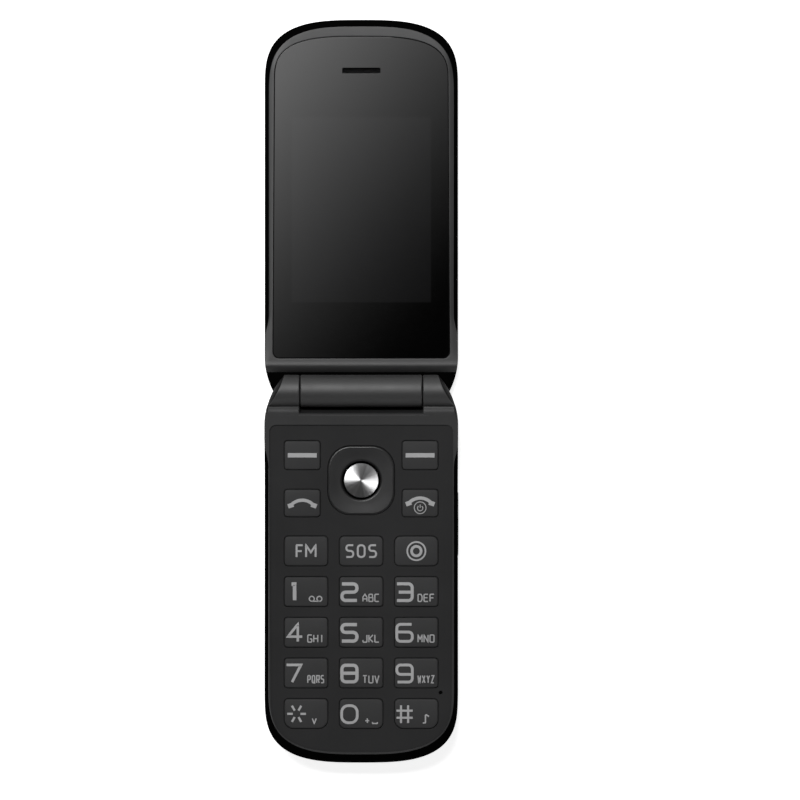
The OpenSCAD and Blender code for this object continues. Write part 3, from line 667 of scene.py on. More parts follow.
    def bowl(self, wall: float, lip: float) -> MeshBook:
        """Returns the cover below the parting plane, as a thin shell with a rounded lip.

        Args:
            wall: Wall thickness.
            lip: Rounding of the outer lip.

        Returns:
            The shell.
        """
        part = self.parting()
        corners = [self.corner(part * (0.25 * u + 0.75 * u * u)) for u in np.linspace(0, 1, 17)]
        corners[-1].radius = lip
        deep = part - wall
        for u in np.linspace(1.0, 0.0, 9):
            z = wall + deep * u * u
            corners.append(Corner(self.ring(self.outline((z - wall) * part / deep, wall), z)))
        book = MeshBook()
        rings, tags = rounded_section(corners, closed=False, steps=4)
        book.loft(rings, tags, caps=Caps.BOTH)
        return book


BASE_FORM = ShellForm(
    half=Half.BASE, near=1.4, top=10.7, edge_z=8.4, side_top=6.9, side_round=5.0,
    end_r=24.0, end_bevel=2.5, heel_r=63.0, heel_z=2.2, heel_round=0.6, heel_rise=1.8,
    part=3.5, part_rise=2.7,
)
LID_FORM = ShellForm(
    half=Half.LID, near=-1.0, top=6.0, edge_z=4.4, side_top=3.4, side_round=3.5, end_r=80.0,
    end_bevel=1.9, heel_r=39.0, heel_z=2.2, heel_round=0.0, heel_rise=1.0, part=2.9,
    part_rise=1.6,
)


class Plate:
    """A flat plate with openings, whose upper edges are rounded."""

    def __init__(self, low: float, high: float, outline: Array, edge: float) -> None:
        """Keeps the plate's two heights, its outline, turning left, and its edge rounding."""
        self.low, self.high = low, high
        self.loops: list[tuple[Array, float]] = [(outline, edge)]

    def opening(self, loop: Array, edge: float) -> None:
        """Adds an opening, given turning left, and its edge rounding."""
        self.loops.append((loop[::-1], edge))

    @staticmethod
    def inside(loop: Array, x: float, y: float) -> bool:
        """Tells whether a point lies inside a loop.

        Args:
            loop: Points of the loop.
            x: The point's place across.
            y: The point's place along.

        Returns:
            Whether it lies inside.
        """
        a, b = loop, np.roll(loop, -1, axis=0)
        spans = (a[:, 1] > y) != (b[:, 1] > y)
        with np.errstate(divide="ignore", invalid="ignore"):
            cross = a[:, 0] + (y - a[:, 1]) * (b[:, 0] - a[:, 0]) / (b[:, 1] - a[:, 1])
        return bool(np.count_nonzero(spans & (x < cross)) % 2)

    def add_to(self, book: MeshBook, tag: int = 0, steps: int = 4) -> None:
        """Adds the plate to a book.

        Args:
            book: Where the plate is collected.
            tag: Its material index.
            steps: Steps in each edge rounding.
        """
        tops, bottoms = [], []
        for loop, edge in self.loops:
            rings = [raised(loop, self.low)]
            for side, drop in quarter_round(steps):
                rings.append(raised(moved_in(loop, edge * side), self.high - edge * drop))
            book.loft(rings, tag)
            tops.append(rings[-1])
            bottoms.append(rings[0])
        for rings in (tops, bottoms):
            flat = [Vector((p[0], p[1])) for ring in rings for p in ring]
            edges, begin = [], 0
            for ring in rings:
                n = len(ring)
                edges += [(begin + i, begin + (i + 1) % n) for i in range(n)]
                begin += n
            verts, _, faces, _, _, _ = delaunay_2d_cdt(flat, edges, [], 1, 1e-5)
            kept = []
            for f in faces:
                x, y = (sum(verts[i][axis] for i in f) / len(f) for axis in (0, 1))
                in_hole = any(self.inside(r, x, y) for r in rings[1:])
                if self.inside(rings[0], x, y) and not in_hole:
                    kept.append(f)
            book.add(np.array([[v[0], v[1], rings[0][0, 2]] for v in verts]), kept, tag)


# Finishes


def add_node(tree: Tree, kind: str, inputs: dict | None = None, **settings: object) -> Node:
    """Adds a node to a tree.

    Args:
        tree: The node tree.
        kind: The node's type name.
        inputs: Values or sockets for its inputs, by name or number.
        settings: The node's own settings.

    Returns:
        The new node.
    """
    node = tree.nodes.new(kind)
    for key, value in settings.items():
        setattr(node, key, value)
    feed(tree, node, inputs or {})
    return node


def feed(tree: Tree, node: Node, inputs: dict) -> None:
    """Sets a node's inputs or joins them to other nodes.

    Args:
        tree: The node tree.
        node: The node.
        inputs: Values or sockets, by the input's name or number.
    """
    for key, value in inputs.items():
        if isinstance(value, Socket):
            tree.links.new(value, node.inputs[key])
        else:
            node.inputs[key].default_value = value


def reckon(tree: Tree, operation: str, *values: object) -> Socket:
    """Returns the result of a sum on values or sockets."""
    return add_node(tree, "ShaderNodeMath", dict(enumerate(values)), operation=operation).outputs[0]


def spread(
    tree: Tree,
    value: Socket,
    begin: Pair,
    end: Pair = (0.0, 1.0),
    kind: str = "LINEAR",
) -> Socket:
    """Maps a value from one range to another.

    Args:
        tree: The node tree.
        value: The value.
        begin: The range that it comes from.
        end: The range that it goes to.
        kind: How it is eased between them.

    Returns:
        The mapped value.
    """
    ranges = dict(zip(("From Min", "From Max", "To Min", "To Max"), (*begin, *end)))
    inputs = {"Value": value, **ranges}
    return add_node(tree, "ShaderNodeMapRange", inputs, interpolation_type=kind).outputs[0]


class Shader:
    """Adds and joins the nodes of one material."""

    def __init__(self, name: str) -> None:
        """Starts a material that holds only its surface shader and output.

        Args:
            name: The material's name.
        """
        self.material = blank(name)
        self.tree = self.material.node_tree
        self.surface = self.add("ShaderNodeBsdfPrincipled")
        self.add("ShaderNodeOutputMaterial", {0: self.surface.outputs[0]})
        self.place = self.add("ShaderNodeTexCoord").outputs["Object"]

    def add(self, kind: str, inputs: dict | None = None, **settings: object) -> Node:
        """Adds a node and sets or joins its inputs."""
        return add_node(self.tree, kind, inputs, **settings)

    def vector(self, operation: str, *values: object) -> Node:
        """Adds a sum on vectors."""
        return self.add("ShaderNodeVectorMath", dict(enumerate(values)), operation=operation)

    def noise(self, scale: float, detail: float = 2.0, at: Socket | None = None) -> Socket:
        """Returns a noise value that follows the piece, or another place."""
        inputs = {"Vector": at or self.place, "Scale": scale, "Detail": detail}
        return self.add("ShaderNodeTexNoise", inputs).outputs["Fac"]

    def between(self, value: Socket, low: float, high: float) -> Socket:
        """Returns a noise value spread from low to high."""
        return spread(self.tree, value, (0.3, 0.7), (low, high))

    def blend(self, share: Socket, a: Triple | Socket, b: Triple | Socket) -> Socket:
        """Returns a colour between a and b."""
        ends = {i: c if isinstance(c, Socket) else (*c, 1.0) for i, c in ((6, a), (7, b))}
        return self.add("ShaderNodeMix", {0: share, **ends}, data_type="RGBA").outputs[2]

    def finish(self, inputs: dict, height: Socket, depth: float, strength: float = 1.0) -> Material:
        """Sets the surface shader's inputs and its bump.

        Args:
            inputs: Values or sockets, by the input's name.
            height: Height that roughens the surface.
            depth: Depth of the bump in metres.
            strength: Strength of the bump.

        Returns:
            The finished material.
        """
        bump = {"Height": height, "Distance": depth, "Strength": strength}
        normal = self.add("ShaderNodeBump", bump).outputs["Normal"]
        feed(self.tree, self.surface, {**inputs, "Normal": normal})
        return self.material


def blank(name: str) -> Material:
    """Returns a material with an empty node tree.

    Args:
        name: The material's name.

    Returns:
        The material.
    """
    material = bpy.data.materials.new(name)
    material.use_nodes = True
    material.node_tree.nodes.clear()
    return material


def shade(colour: Triple, factor: float) -> Triple:
    """Returns a colour made lighter or darker."""
    return (colour[0] * factor, colour[1] * factor, colour[2] * factor)


@dataclass(frozen=True)
class Finish:
    """What every finish has.

    Attributes:
        name: The material's name.
        colour: Linear base colour.
    """

    name: str
    colour: Triple

    def tone(self, factor: float) -> Triple:
        """Returns the colour made lighter or darker."""
        return shade(self.colour, factor)


@dataclass(frozen=True)
class Moulding(Finish):
    """Moulded or painted plastic with a fine grain and a slight mottle.

    Attributes:
        rough: Middle roughness.
        gloss: Specular level.
        grain: Size of the grain in metres.
        depth: Depth of the grain in metres.
        coat: Strength of a clear coat.
        mottle: Share by which the colour varies.
    """

    rough: float
    gloss: float = 0.5
    grain: float = 0.00014
    depth: float = 0.000003
    coat: float = 0.0
    mottle: float = 0.1

    def build(self) -> Material:
        """Makes the material.

        Returns:
            The material.
        """
        s = Shader(self.name)
        speck = s.noise(1.0 / self.grain, 3.0)
        cloud = s.between(s.noise(70.0, 3.0), 0.0, 1.0)
        low, high = (self.tone(1 + sign * self.mottle) for sign in (-1, 1))
        tone = s.blend(cloud, low, high)
        wear = s.between(s.noise(260.0, 4.0), self.rough - 0.03, self.rough + 0.03)
        inputs = {
            "Base Color": s.blend(s.between(speck, 0.0, 0.3), tone, self.tone(1.35)),
            "Roughness": wear,
            "Specular IOR Level": self.gloss,
            "Coat Weight": self.coat,
            "Coat Roughness": 0.08,
        }
        return s.finish(inputs, speck, self.depth)


@dataclass(frozen=True)
class SmokedLens(Finish):
    """Gloss black window that lets the unlit display show faintly.

    Attributes:
        view_colour: Linear colour over the display.
        view: Half width, near edge and far edge of the display in metres.
        gloss: Specular level.
        soft: Half the width of the display's faint edge in metres.
    """

    view_colour: Triple
    view: Triple
    gloss: float = 0.5
    soft: float = 0.00025

    def build(self) -> Material:
        """Makes the material.

        Returns:
            The material.
        """
        s = Shader(self.name)
        part = s.add("ShaderNodeSeparateXYZ", {0: s.place}).outputs
        half, near, far = self.view
        wide = reckon(s.tree, "ABSOLUTE", part["X"])
        edges = ((wide, half, -1), (part["Y"], near, 1), (part["Y"], far, -1))
        mask = None
        for value, edge, sign in edges:
            begin = (edge - sign * self.soft, edge + sign * self.soft)
            share = spread(s.tree, value, begin, kind="SMOOTHSTEP")
            mask = share if mask is None else reckon(s.tree, "MULTIPLY", mask, share)
        haze = s.between(s.noise(45.0, 3.0), 0.0, 1.0)
        view = s.blend(haze, shade(self.view_colour, 0.92), shade(self.view_colour, 1.08))
        inputs = {
            "Base Color": s.blend(mask, self.colour, view),
            "Roughness": s.between(s.noise(380.0, 5.0), 0.03, 0.05),
            "Specular IOR Level": self.gloss,
        }
        return s.finish(inputs, s.noise(30.0, 1.0), 0.000002, 0.4)


@dataclass(frozen=True)
class SpunMetal(Finish):
    """Metal turned on a lathe, with rings round its own axis.

    Attributes:
        centre: Place of the axis in metres.
        pitch: Distance between the rings in metres.
        rough: Roughness.
        grain: Strength of the grain along the rings.
        sweep: How far the grain is swept from the rings, in turns.
    """

    centre: Pair
    pitch: float = 0.00016
    rough: float = 0.3
    grain: float = 0.93
    sweep: float = 0.115

    def build(self) -> Material:
        """Makes the material.

        Returns:
            The material.
        """
        s = Shader(self.name)
        move = {"Vector": s.place, "Location": (-self.centre[0], -self.centre[1], 0.0)}
        local = s.add("ShaderNodeMapping", move).outputs[0]
        flat = s.vector("MULTIPLY", local, (1.0, 1.0, 0.0)).outputs[0]
        span = s.vector("LENGTH", flat).outputs["Value"]
        wave = reckon(s.tree, "SINE", reckon(s.tree, "MULTIPLY", span, 2 * math.pi / self.pitch))
        rings = spread(s.tree, wave, (-1.0, 1.0))
        # Painted reflection: a noise that changes only with the angle round the axis lays lighter
        # and darker sectors into the base colour.
        sheen_sectors = s.noise(2.6, 3.0, s.vector("NORMALIZE", flat).outputs[0])
        sheen_share = spread(s.tree, sheen_sectors, (0.35, 0.65))
        dark = s.blend(rings, self.tone(0.62), self.tone(0.7))
        pale = s.blend(rings, self.colour, self.tone(1.12))
        fleck = s.between(s.noise(9000.0, 2.0), 0.0, 0.12)
        tangent = s.add("ShaderNodeTangent", direction_type="UV_MAP", uv_map="spin").outputs[0]
        wear = s.between(s.noise(2500.0, 2.0), self.rough - 0.02, self.rough + 0.02)
        inputs = {
            "Base Color": s.blend(fleck, s.blend(sheen_share, dark, pale), self.tone(0.7)),
            "Metallic": 1.0,
            "Roughness": wear,
            "Anisotropic": self.grain,
            "Anisotropic Rotation": self.sweep,
            "Tangent": tangent,
        }
        return s.finish(inputs, rings, 0.0000015, 0.6)


@dataclass(frozen=True)
class PlainMetal(Finish):
    """Rolled or plated metal with a faint directional grain.

    Attributes:
        rough: Roughness.
        stretch: How much longer the grain is along y than across.
    """

    rough: float = 0.32
    stretch: float = 12.0

    def build(self) -> Material:
        """Makes the material.

        Returns:
            The material.
        """
        s = Shader(self.name)
        drawn = {"Vector": s.place, "Scale": (self.stretch, 1.0, 1.0)}
        lines = s.noise(900.0, 3.0, s.add("ShaderNodeMapping", drawn).outputs[0])
        share = s.between(lines, 0.0, 1.0)
        inputs = {
            "Base Color": s.blend(share, self.tone(0.85), self.tone(1.1)),
            "Metallic": 1.0,
            "Roughness": s.between(lines, self.rough - 0.06, self.rough + 0.06),
        }
        return s.finish(inputs, lines, 0.000001, 0.5)


@dataclass(frozen=True)
class Laminate(Finish):
    """Layered sheet goods: circuit boards with tracks, cable film with conductors, wrapped cells.

    Attributes:
        line_colour: Linear colour of the tracks or print.
        pitch: Distance between the tracks in metres.
        rough: Roughness.
    """

    line_colour: Triple
    pitch: float = 0.0022
    rough: float = 0.45

    def build(self) -> Material:
        """Makes the material.

        Returns:
            The material.
        """
        s = Shader(self.name)
        tracks = {
            "Vector": s.place,
            "Scale": 1.0,
            "Mortar Size": self.pitch * 0.09,
            "Brick Width": self.pitch * 3.1,
            "Row Height": self.pitch,
            "Color1": (*self.colour, 1.0),
            "Color2": (*self.tone(1.25), 1.0),
            "Mortar": (*self.line_colour, 1.0),
        }
        brick = s.add("ShaderNodeTexBrick", tracks).outputs
        wear = s.between(s.noise(400.0, 3.0), self.rough - 0.08, self.rough + 0.08)
        inputs = {"Base Color": brick["Color"], "Roughness": wear}
        return s.finish(inputs, brick["Fac"], 0.00002, 0.6)


class Palette:
    """Builds each finish once and hands it out by name."""

    FINISHES = (
        Moulding("satin_bezel", (0.022, 0.022, 0.0224), 0.45),
        Moulding("satin_barrel", (0.012, 0.012, 0.0123), 0.56, gloss=0.8),
        Moulding("satin_fascia", (0.0235, 0.0235, 0.0239), 0.6, gloss=0.2),
        # Near-black rim, also used as painted shade on the lid's roll under the barrel.
        Moulding("black_rim", (0.0014, 0.0014, 0.0014), 0.7, gloss=0.0),
        Moulding("satin_brow", (0.024, 0.024, 0.0244), 0.4, gloss=0.14),
        # Darker copy of the barrel finish: painted shade on the ears' domed ends.
        Moulding("domed_end", (0.004, 0.004, 0.0042), 0.5, gloss=0.03),
        # Near-black for recesses, gaps and inner walls: painted shade.
        Moulding("recess_black", (0.004, 0.004, 0.004), 0.7, gloss=0.02),
        # Dark grey standing in for the shade on the floor of the slot under the barrel: painted
        # shade.
        Moulding("slot_floor", (0.008, 0.008, 0.0082), 0.65, gloss=0.08),
        Moulding("keypad_panel", (0.0205, 0.0205, 0.0209), 0.62, 0.08, 0.00018, 0.000004),
        Moulding("key_satin", (0.031, 0.031, 0.0315), 0.55, gloss=0.12, grain=0.00011),
        Moulding("edge_line", (0.024, 0.024, 0.0244), 0.36, gloss=0.5),
        # Darker, glossier copy of the ring's satin: painted shade on the ring's edges.
        Moulding("ring_edge", (0.006, 0.006, 0.0062), 0.34, gloss=0.45),
        Moulding("ring_gloss", (0.021, 0.021, 0.0214), 0.48, gloss=0.2),
        Moulding("legend_ink", (0.34, 0.34, 0.344), 0.55, gloss=0.2, grain=0.00006, mottle=0.05),
        # Lighter copy of the band's satin: painted highlight on the band's lower facet.
        Moulding("facet_satin", (0.075, 0.079, 0.081), 0.34, coat=0.2),
        Moulding("side_band_satin", (0.022, 0.0225, 0.023), 0.4, gloss=0.35),
        Moulding("rocker_satin", (0.02, 0.0205, 0.021), 0.34),
        Moulding("rear_gloss", (0.022, 0.027, 0.029), 0.36, gloss=0.35, coat=0.12, mottle=0.06),
        Moulding("lid_gloss", (0.07, 0.078, 0.078), 0.28, coat=0.3, mottle=0.05),
        Moulding("socket_moulding", (0.012, 0.012, 0.0125), 0.45),
        Moulding("key_rubber_grey", (0.16, 0.16, 0.165), 0.62, gloss=0.3),
        Moulding("camera_iris", (0.006, 0.006, 0.008), 0.2, gloss=0.6),
        SmokedLens(
            "smoked_lens", (0.0012,) * 3, (0.0056, 0.0056, 0.0058), (0.01835, 0.0234, 0.0722)
        ),
        SmokedLens(
            "window_glass", (0.004, 0.004, 0.005), (0.002, 0.002, 0.003), (0.0016, 0.0134, 0.0166)
        ),
        SpunMetal("spun_metal", (0.62, 0.62, 0.625), (0.0, -0.0235)),
        PlainMetal("bright_steel", (0.5, 0.51, 0.52)),
        PlainMetal("dark_mesh_steel", (0.008, 0.008, 0.0085), 0.6),
        PlainMetal("blued_steel", (0.02, 0.021, 0.023), 0.55),
        PlainMetal("contact_plating", (0.66, 0.47, 0.17), 0.25),
        Laminate("board_laminate", (0.012, 0.09, 0.045), (0.05, 0.2, 0.1)),
        Laminate("cable_film", (0.42, 0.2, 0.045), (0.5, 0.3, 0.12), 0.0005),
        Laminate("cell_wrap", (0.46, 0.47, 0.47), (0.4, 0.41, 0.42), 0.012, 0.35),
        Laminate("panel_glass", (0.012, 0.013, 0.016), (0.008, 0.008, 0.01), 0.0006, 0.15),
    )

    def __init__(self) -> None:
        """Builds every finish."""
        self.made = {f.name: f.build() for f in self.FINISHES}

    def take(self, *names: str) -> list[Material]:
        """Returns finishes by name."""
        return [self.made[name] for name in names]


# Geometry node trees


class GeometryTree:
    """A geometry node tree with named inputs that turns into a plain mesh."""

    def __init__(self, name: str) -> None:
        """Starts an empty tree.

        Args:
            name: The name of the tree and of its piece.
        """
        self.name = name
        self.group = bpy.data.node_groups.new(name, "GeometryNodeTree")
        for way in ("INPUT", "OUTPUT"):
            self.group.interface.new_socket(
                "Geometry", in_out=way, socket_type="NodeSocketGeometry"
            )
        self.inside = self.group.nodes.new("NodeGroupInput")
        self.values: dict[str, object] = {}

    def size(self, name: str, value: object, kind: str = "NodeSocketFloat") -> Socket:
        """Adds a named input.

        Args:
            name: The input's name.
            value: The value that the piece uses.
            kind: The input's socket type.

        Returns:
            The input inside the tree.
        """
        socket = self.group.interface.new_socket(name, in_out="INPUT", socket_type=kind)
        self.values[socket.identifier] = value
        return self.inside.outputs[name]

    def add(self, kind: str, inputs: dict) -> Socket:
        """Adds a node, sets or joins its inputs and returns its first output."""
        return add_node(self.group, "GeometryNode" + kind, inputs).outputs[0]

    def tube(self, path: Socket, radius: Socket, sides: int, filled: bool) -> Socket:
        """Adds a round tube along a path.

        Args:
            path: The path.
            radius: Radius of the tube.
            sides: Number of its sides.
            filled: Whether its ends are closed.

        Returns:
            The tube.
        """
        ring = self.add("CurvePrimitiveCircle", {"Resolution": sides, "Radius": radius})
        inputs = {"Curve": path, "Profile Curve": ring, "Fill Caps": filled}
        return self.add("CurveToMesh", inputs)

    def piece(
        self, geometry: Socket, material: Material, start: bpy.types.Mesh | None = None
    ) -> Object:
        """Ends the tree and makes its result a plain object.

        Args:
            geometry: What the tree gives out.
            material: Finish of the result.
            start: Mesh that the tree starts from.

        Returns:
            The new object.
        """
        real = self.add("RealizeInstances", {"Geometry": geometry})
        paint = self.add("SetMaterial", {"Geometry": real, "Material": material})
        self.group.links.new(paint, self.group.nodes.new("NodeGroupOutput").inputs[0])
        obj = linked(self.name, start or bpy.data.meshes.new(self.name))
        step = obj.modifiers.new("build", "NODES")
        step.node_group = self.group
        for key, value in self.values.items():
            step[key] = value
        settle(obj)
        if not obj.data.materials:
            obj.data.materials.append(material)
        return obj


def woven_mesh(
    name: str, centre: Triple, size: Pair, pitch: float, material: Material
) -> Object:
    """Makes a flat woven wire mesh.

    Args:
        name: The piece's name.
        centre: Its centre in millimetres.
        size: Width and height in millimetres.
        pitch: Distance between wires in millimetres.
        material: Its finish.

    Returns:
        The new object.
    """
    wire = 0.07
    tree = GeometryTree(name)
    sizes = {}
    for axis, label, length in zip("XY", ("Width", "Height"), size):
        sizes[f"Size {axis}"] = tree.size(label, length * MM)
        count = int(length / pitch) + 1
        sizes[f"Vertices {axis}"] = tree.size(f"{label} wires", count, "NodeSocketInt")
    thick = tree.size("Wire", wire * MM)
    where = tree.size("Centre", tuple(c * MM for c in centre), "NodeSocketVector")
    lines = tree.add("MeshToCurve", {"Mesh": tree.add("MeshGrid", sizes)})
    wires = tree.tube(lines, thick, 6, False)
    return tree.piece(tree.add("Transform", {"Geometry": wires, "Translation": where}), material)


def repeated(
    name: str, points: Sequence[Sequence[float]], shape: MeshBook, material: Material
) -> Object:
    """Repeats one small shape at several places.

    Args:
        name: The piece's name.
        points: Places in millimetres.
        shape: The shape, about the origin.
        material: Its finish.

    Returns:
        The new object.
    """
    source = shape.make(name + "_source", [material])
    soften(source, 30)
    tree = GeometryTree(name)
    what = tree.size("Shape", source, "NodeSocketObject")
    scale = tree.size("Scale", 1.0)
    info = add_node(tree.group, "GeometryNodeObjectInfo", {"Object": what}).outputs["Geometry"]
    inputs = {"Points": tree.inside.outputs["Geometry"], "Instance": info, "Scale": scale}
    start = bpy.data.meshes.new(name)
    start.from_pydata([[c * MM for c in p] for p in points], [], [])
    obj = tree.piece(tree.add("InstanceOnPoints", inputs), material, start)
    bpy.data.objects.remove(source)
    return obj


# Sub-assemblies


@dataclass
class LidShell:
    """The lid: frame with the middle knuckle, cover, lens, earpiece mesh and camera window."""

    palette: Palette
    form: ShellForm = LID_FORM
    wall: float = 1.2
    lip: float = 0.16
    lens_half: float = 22.9
    lens_flare: float = 0.4
    lens_near: float = 8.7
    lens_far: float = 93.5
    lens_depth: float = 12.0
    lens_round: float = 1.8
    lens_low: float = 5.1
    lens_gap: float = 0.1
    lens_drop: float = 0.02
    lens_ledge: float = 2.0
    lean: float = 0.24
    roll_s: float = 6.95
    roll_run: float = 2.45
    roll_drop: float = 2.2
    # Distance from the axis within which the bezel is painted black as shade.
    black_s: float = 5.0
    lip_rise: float = 0.1
    lip_back: float = 0.3
    lip_run: float = 0.75
    knuckle_half: float = 16.0
    knuckle_round: float = 0.35
    knuckle_arc: Pair = (-39.0, 256.4)
    knuckle_foot: Pairs = ((-1.0, 3.4), (3.3, 3.4))
    slot_w: float = 10.0
    slot_h: float = 1.45
    slot_round: float = 0.25
    slot_s: float = 84.5
    mesh_z: float = 4.95
    mesh_size: Pair = (11.0, 2.5)
    mesh_pitch: float = 0.3
    camera_s: float = 15.0
    camera_cut_r: float = 3.55
    camera_top: float = 0.31
    camera_steps: ClassVar[tuple[tuple[float, ...], ...]] = (
        (3.4, 0.85), (3.5, 0.75), (3.5, 0.3), (3.45, 0.2), (3.34, 0.15), (2.95, 0.15),
        (2.88, 0.22), (2.84, 0.3, 1), (1.75, 0.3, 1), (1.6, 0.34, 2), (1.3, 0.42, 2),
        (0.9, 0.36, 2), (0.5, 0.32, 2),
    )

    def face_z(self, s: Array) -> Array:
        """Returns the height of the inner face, which rolls down under the barrel.

        Args:
            s: Distance from the axis.

        Returns:
            The height.
        """
        t = np.clip((self.roll_s - s) / self.roll_run, 0.0, 1.0)
        lip = self.lip_rise * np.exp(-(((s - self.roll_s + self.lip_back) / self.lip_run) ** 2))
        return self.form.top + lip - self.roll_drop * (1.0 - np.sqrt(1.0 - t * t))

    def lens_loop(self, grow: float) -> Array:
        """Returns the right side of the lens outline, made larger by grow."""
        near, far = self.lens_near - grow, self.lens_far + grow
        half = self.lens_half + grow
        return self.form.window(half, self.lens_flare, near, far, self.lens_depth, self.lens_round)

    def frame_section(self) -> list[Corner]:
        """Works out the frame's section, from the parting plane over the face and back.

        Returns:
            The corners in order.
        """
        form = self.form
        part = form.parting()
        top = np.full(form.right_count, form.top)
        for _ in range(3):
            top = self.face_z(form.outline(top)[:, 1])
        tip = part + (form.edge_z - part) * (top - part) / (form.top - part)
        rim, lens = form.outline(top), self.lens_loop(self.lens_gap)
        s = rim[:, 1]
        corners = [form.corner(part, 0.12, 1)]
        corners += [form.corner(part + (tip - part) * f, 0.0, 1) for f in (0.2, 0.45, 0.75)]
        corners.append(form.corner(tip, 0.35, 1))
        lean = self.lean * smooth((s - 6.0) / 6.0) * (1.0 - 0.85 * smooth((s - 82.0) / 12.0))
        corners.append(Corner(form.ring(rim, top - lean), 0.12))
        # The roll's rings start where the painted shade on the roll ends.
        black = (self.black_s - s) / np.maximum(lens[:, 1] - s, 1.0)
        begin = np.maximum(np.where(s < self.black_s, black, 0.0), 0.1)[:, None]
        roll = 0.71 * (1.0 - np.sin(np.radians(np.linspace(90.0, 0.0, 13))))
        for share in (*roll, 0.8, 0.9):
            f = begin + (1.0 - begin) * share
            p = rim * (1 - f) + lens * f
            z = self.face_z(p[:, 1]) - lean * (1 - f[:, 0]) ** 1.5
            corners.append(Corner(form.ring(p, z)))
        corners.append(Corner(form.ring(lens, form.top), 0.16))
        ledge, inner = self.lens_loop(-self.lens_ledge), form.outline(part, self.wall)
        inside = [(lens, form.top - 0.35), (lens, self.lens_low), (ledge, self.lens_low)]
        inside += [(ledge, self.lens_low - 0.5), (inner, part + 0.3), (inner, part)]
        # From just below the bezel down into the lens recess and over the inner walls, the faces
        # take the near-black recess finish: painted shade.
        return corners + [Corner(form.ring(loop, z), 0.0, 2) for loop, z in inside]

    def add_knuckle(self, book: MeshBook) -> None:
        """Adds the middle barrel and its foot on the lid.

        Args:
            book: Where the frame is collected.
        """
        loop = np.concatenate([barrel_arc(*self.knuckle_arc, 90), self.knuckle_foot])
        r, half = self.knuckle_round, self.knuckle_half
        stations = [(r * side - half, r * drop) for side, drop in quarter_round(5)]
        stations += [(-x, d) for x, d in reversed(stations)]
        book.loft([across(moved_in(loop, d), x) for x, d in stations], 3, caps=Caps.BOTH)

    def build_frame(self) -> None:
        """Makes the frame with its knuckle, with painted shade on the roll under the barrel."""
        book = MeshBook()
        book.wrap(self.frame_section())
        self.add_knuckle(book)
        names = ("satin_bezel", "black_rim", "recess_black", "satin_barrel")
        obj = book.make("lid_frame_shell", self.palette.take(*names))
        # Painted shade: bezel faces nearer the axis than the shade edge take the near-black rim
        # finish, for the shade in the crevice under the barrel.
        for face in obj.data.polygons:
            if face.material_index == 0 and face.center.y < self.black_s * MM:
                face.material_index = 1
        place(obj, "lid", "front_shell", "lid_frame")

    def build_cover(self) -> None:
        """Makes the outer cover with the camera opening."""
        bowl = self.form.bowl(self.wall, self.lip)
        obj = bowl.make("lid_cover_shell", self.palette.take("lid_gloss"))
        loop = circle(self.camera_cut_r, 96) + [0.0, self.camera_s]
        hole = MeshBook()
        hole.loft([raised(loop, -1.0), raised(loop, 3.0)], caps=Caps.BOTH)
        cut_away(obj, hole)
        place(obj, "lid", "rear_shell", "lid_cover")

    def build_lens(self) -> None:
        """Makes the smoked lens with the earpiece slot."""
        loop = self.form.ring(self.lens_loop(0.0), 0.0)[:, :2]
        plate = Plate(self.lens_low, self.form.top - self.lens_drop, loop, 0.14)
        slot = pad_loop(self.slot_w, self.slot_h, self.slot_round)
        plate.opening(slot + [0.0, self.slot_s], 0.06)
        book = MeshBook()
        plate.add_to(book)
        obj = book.make("display_lens_plate", self.palette.take("smoked_lens"))
        place(obj, "lid", "lens", "display_lens", flats=True)

    def build_earpiece(self) -> None:
        """Makes the woven mesh behind the slot."""
        (steel,) = self.palette.take("dark_mesh_steel")
        centre = (0.0, self.slot_s, self.mesh_z)
        obj = woven_mesh("earpiece_mesh", centre, self.mesh_size, self.mesh_pitch, steel)
        place(obj, "lid", "steel", "receiver_mesh", angle=60)

    def build_camera(self) -> None:
        """Makes the camera window with its stepped ring."""
        book = MeshBook()
        book.turn((0.0, self.camera_s), self.camera_steps, self.camera_top, 72)
        finishes = self.palette.take("bright_steel", "window_glass", "camera_iris")
        place(book.make("camera_window_disc", finishes), "lid", "lens", "camera_window")

    def build(self) -> None:
        """Makes every piece of the lid."""
        self.build_frame()
        self.build_cover()
        self.build_lens()
        self.build_earpiece()
        self.build_camera()


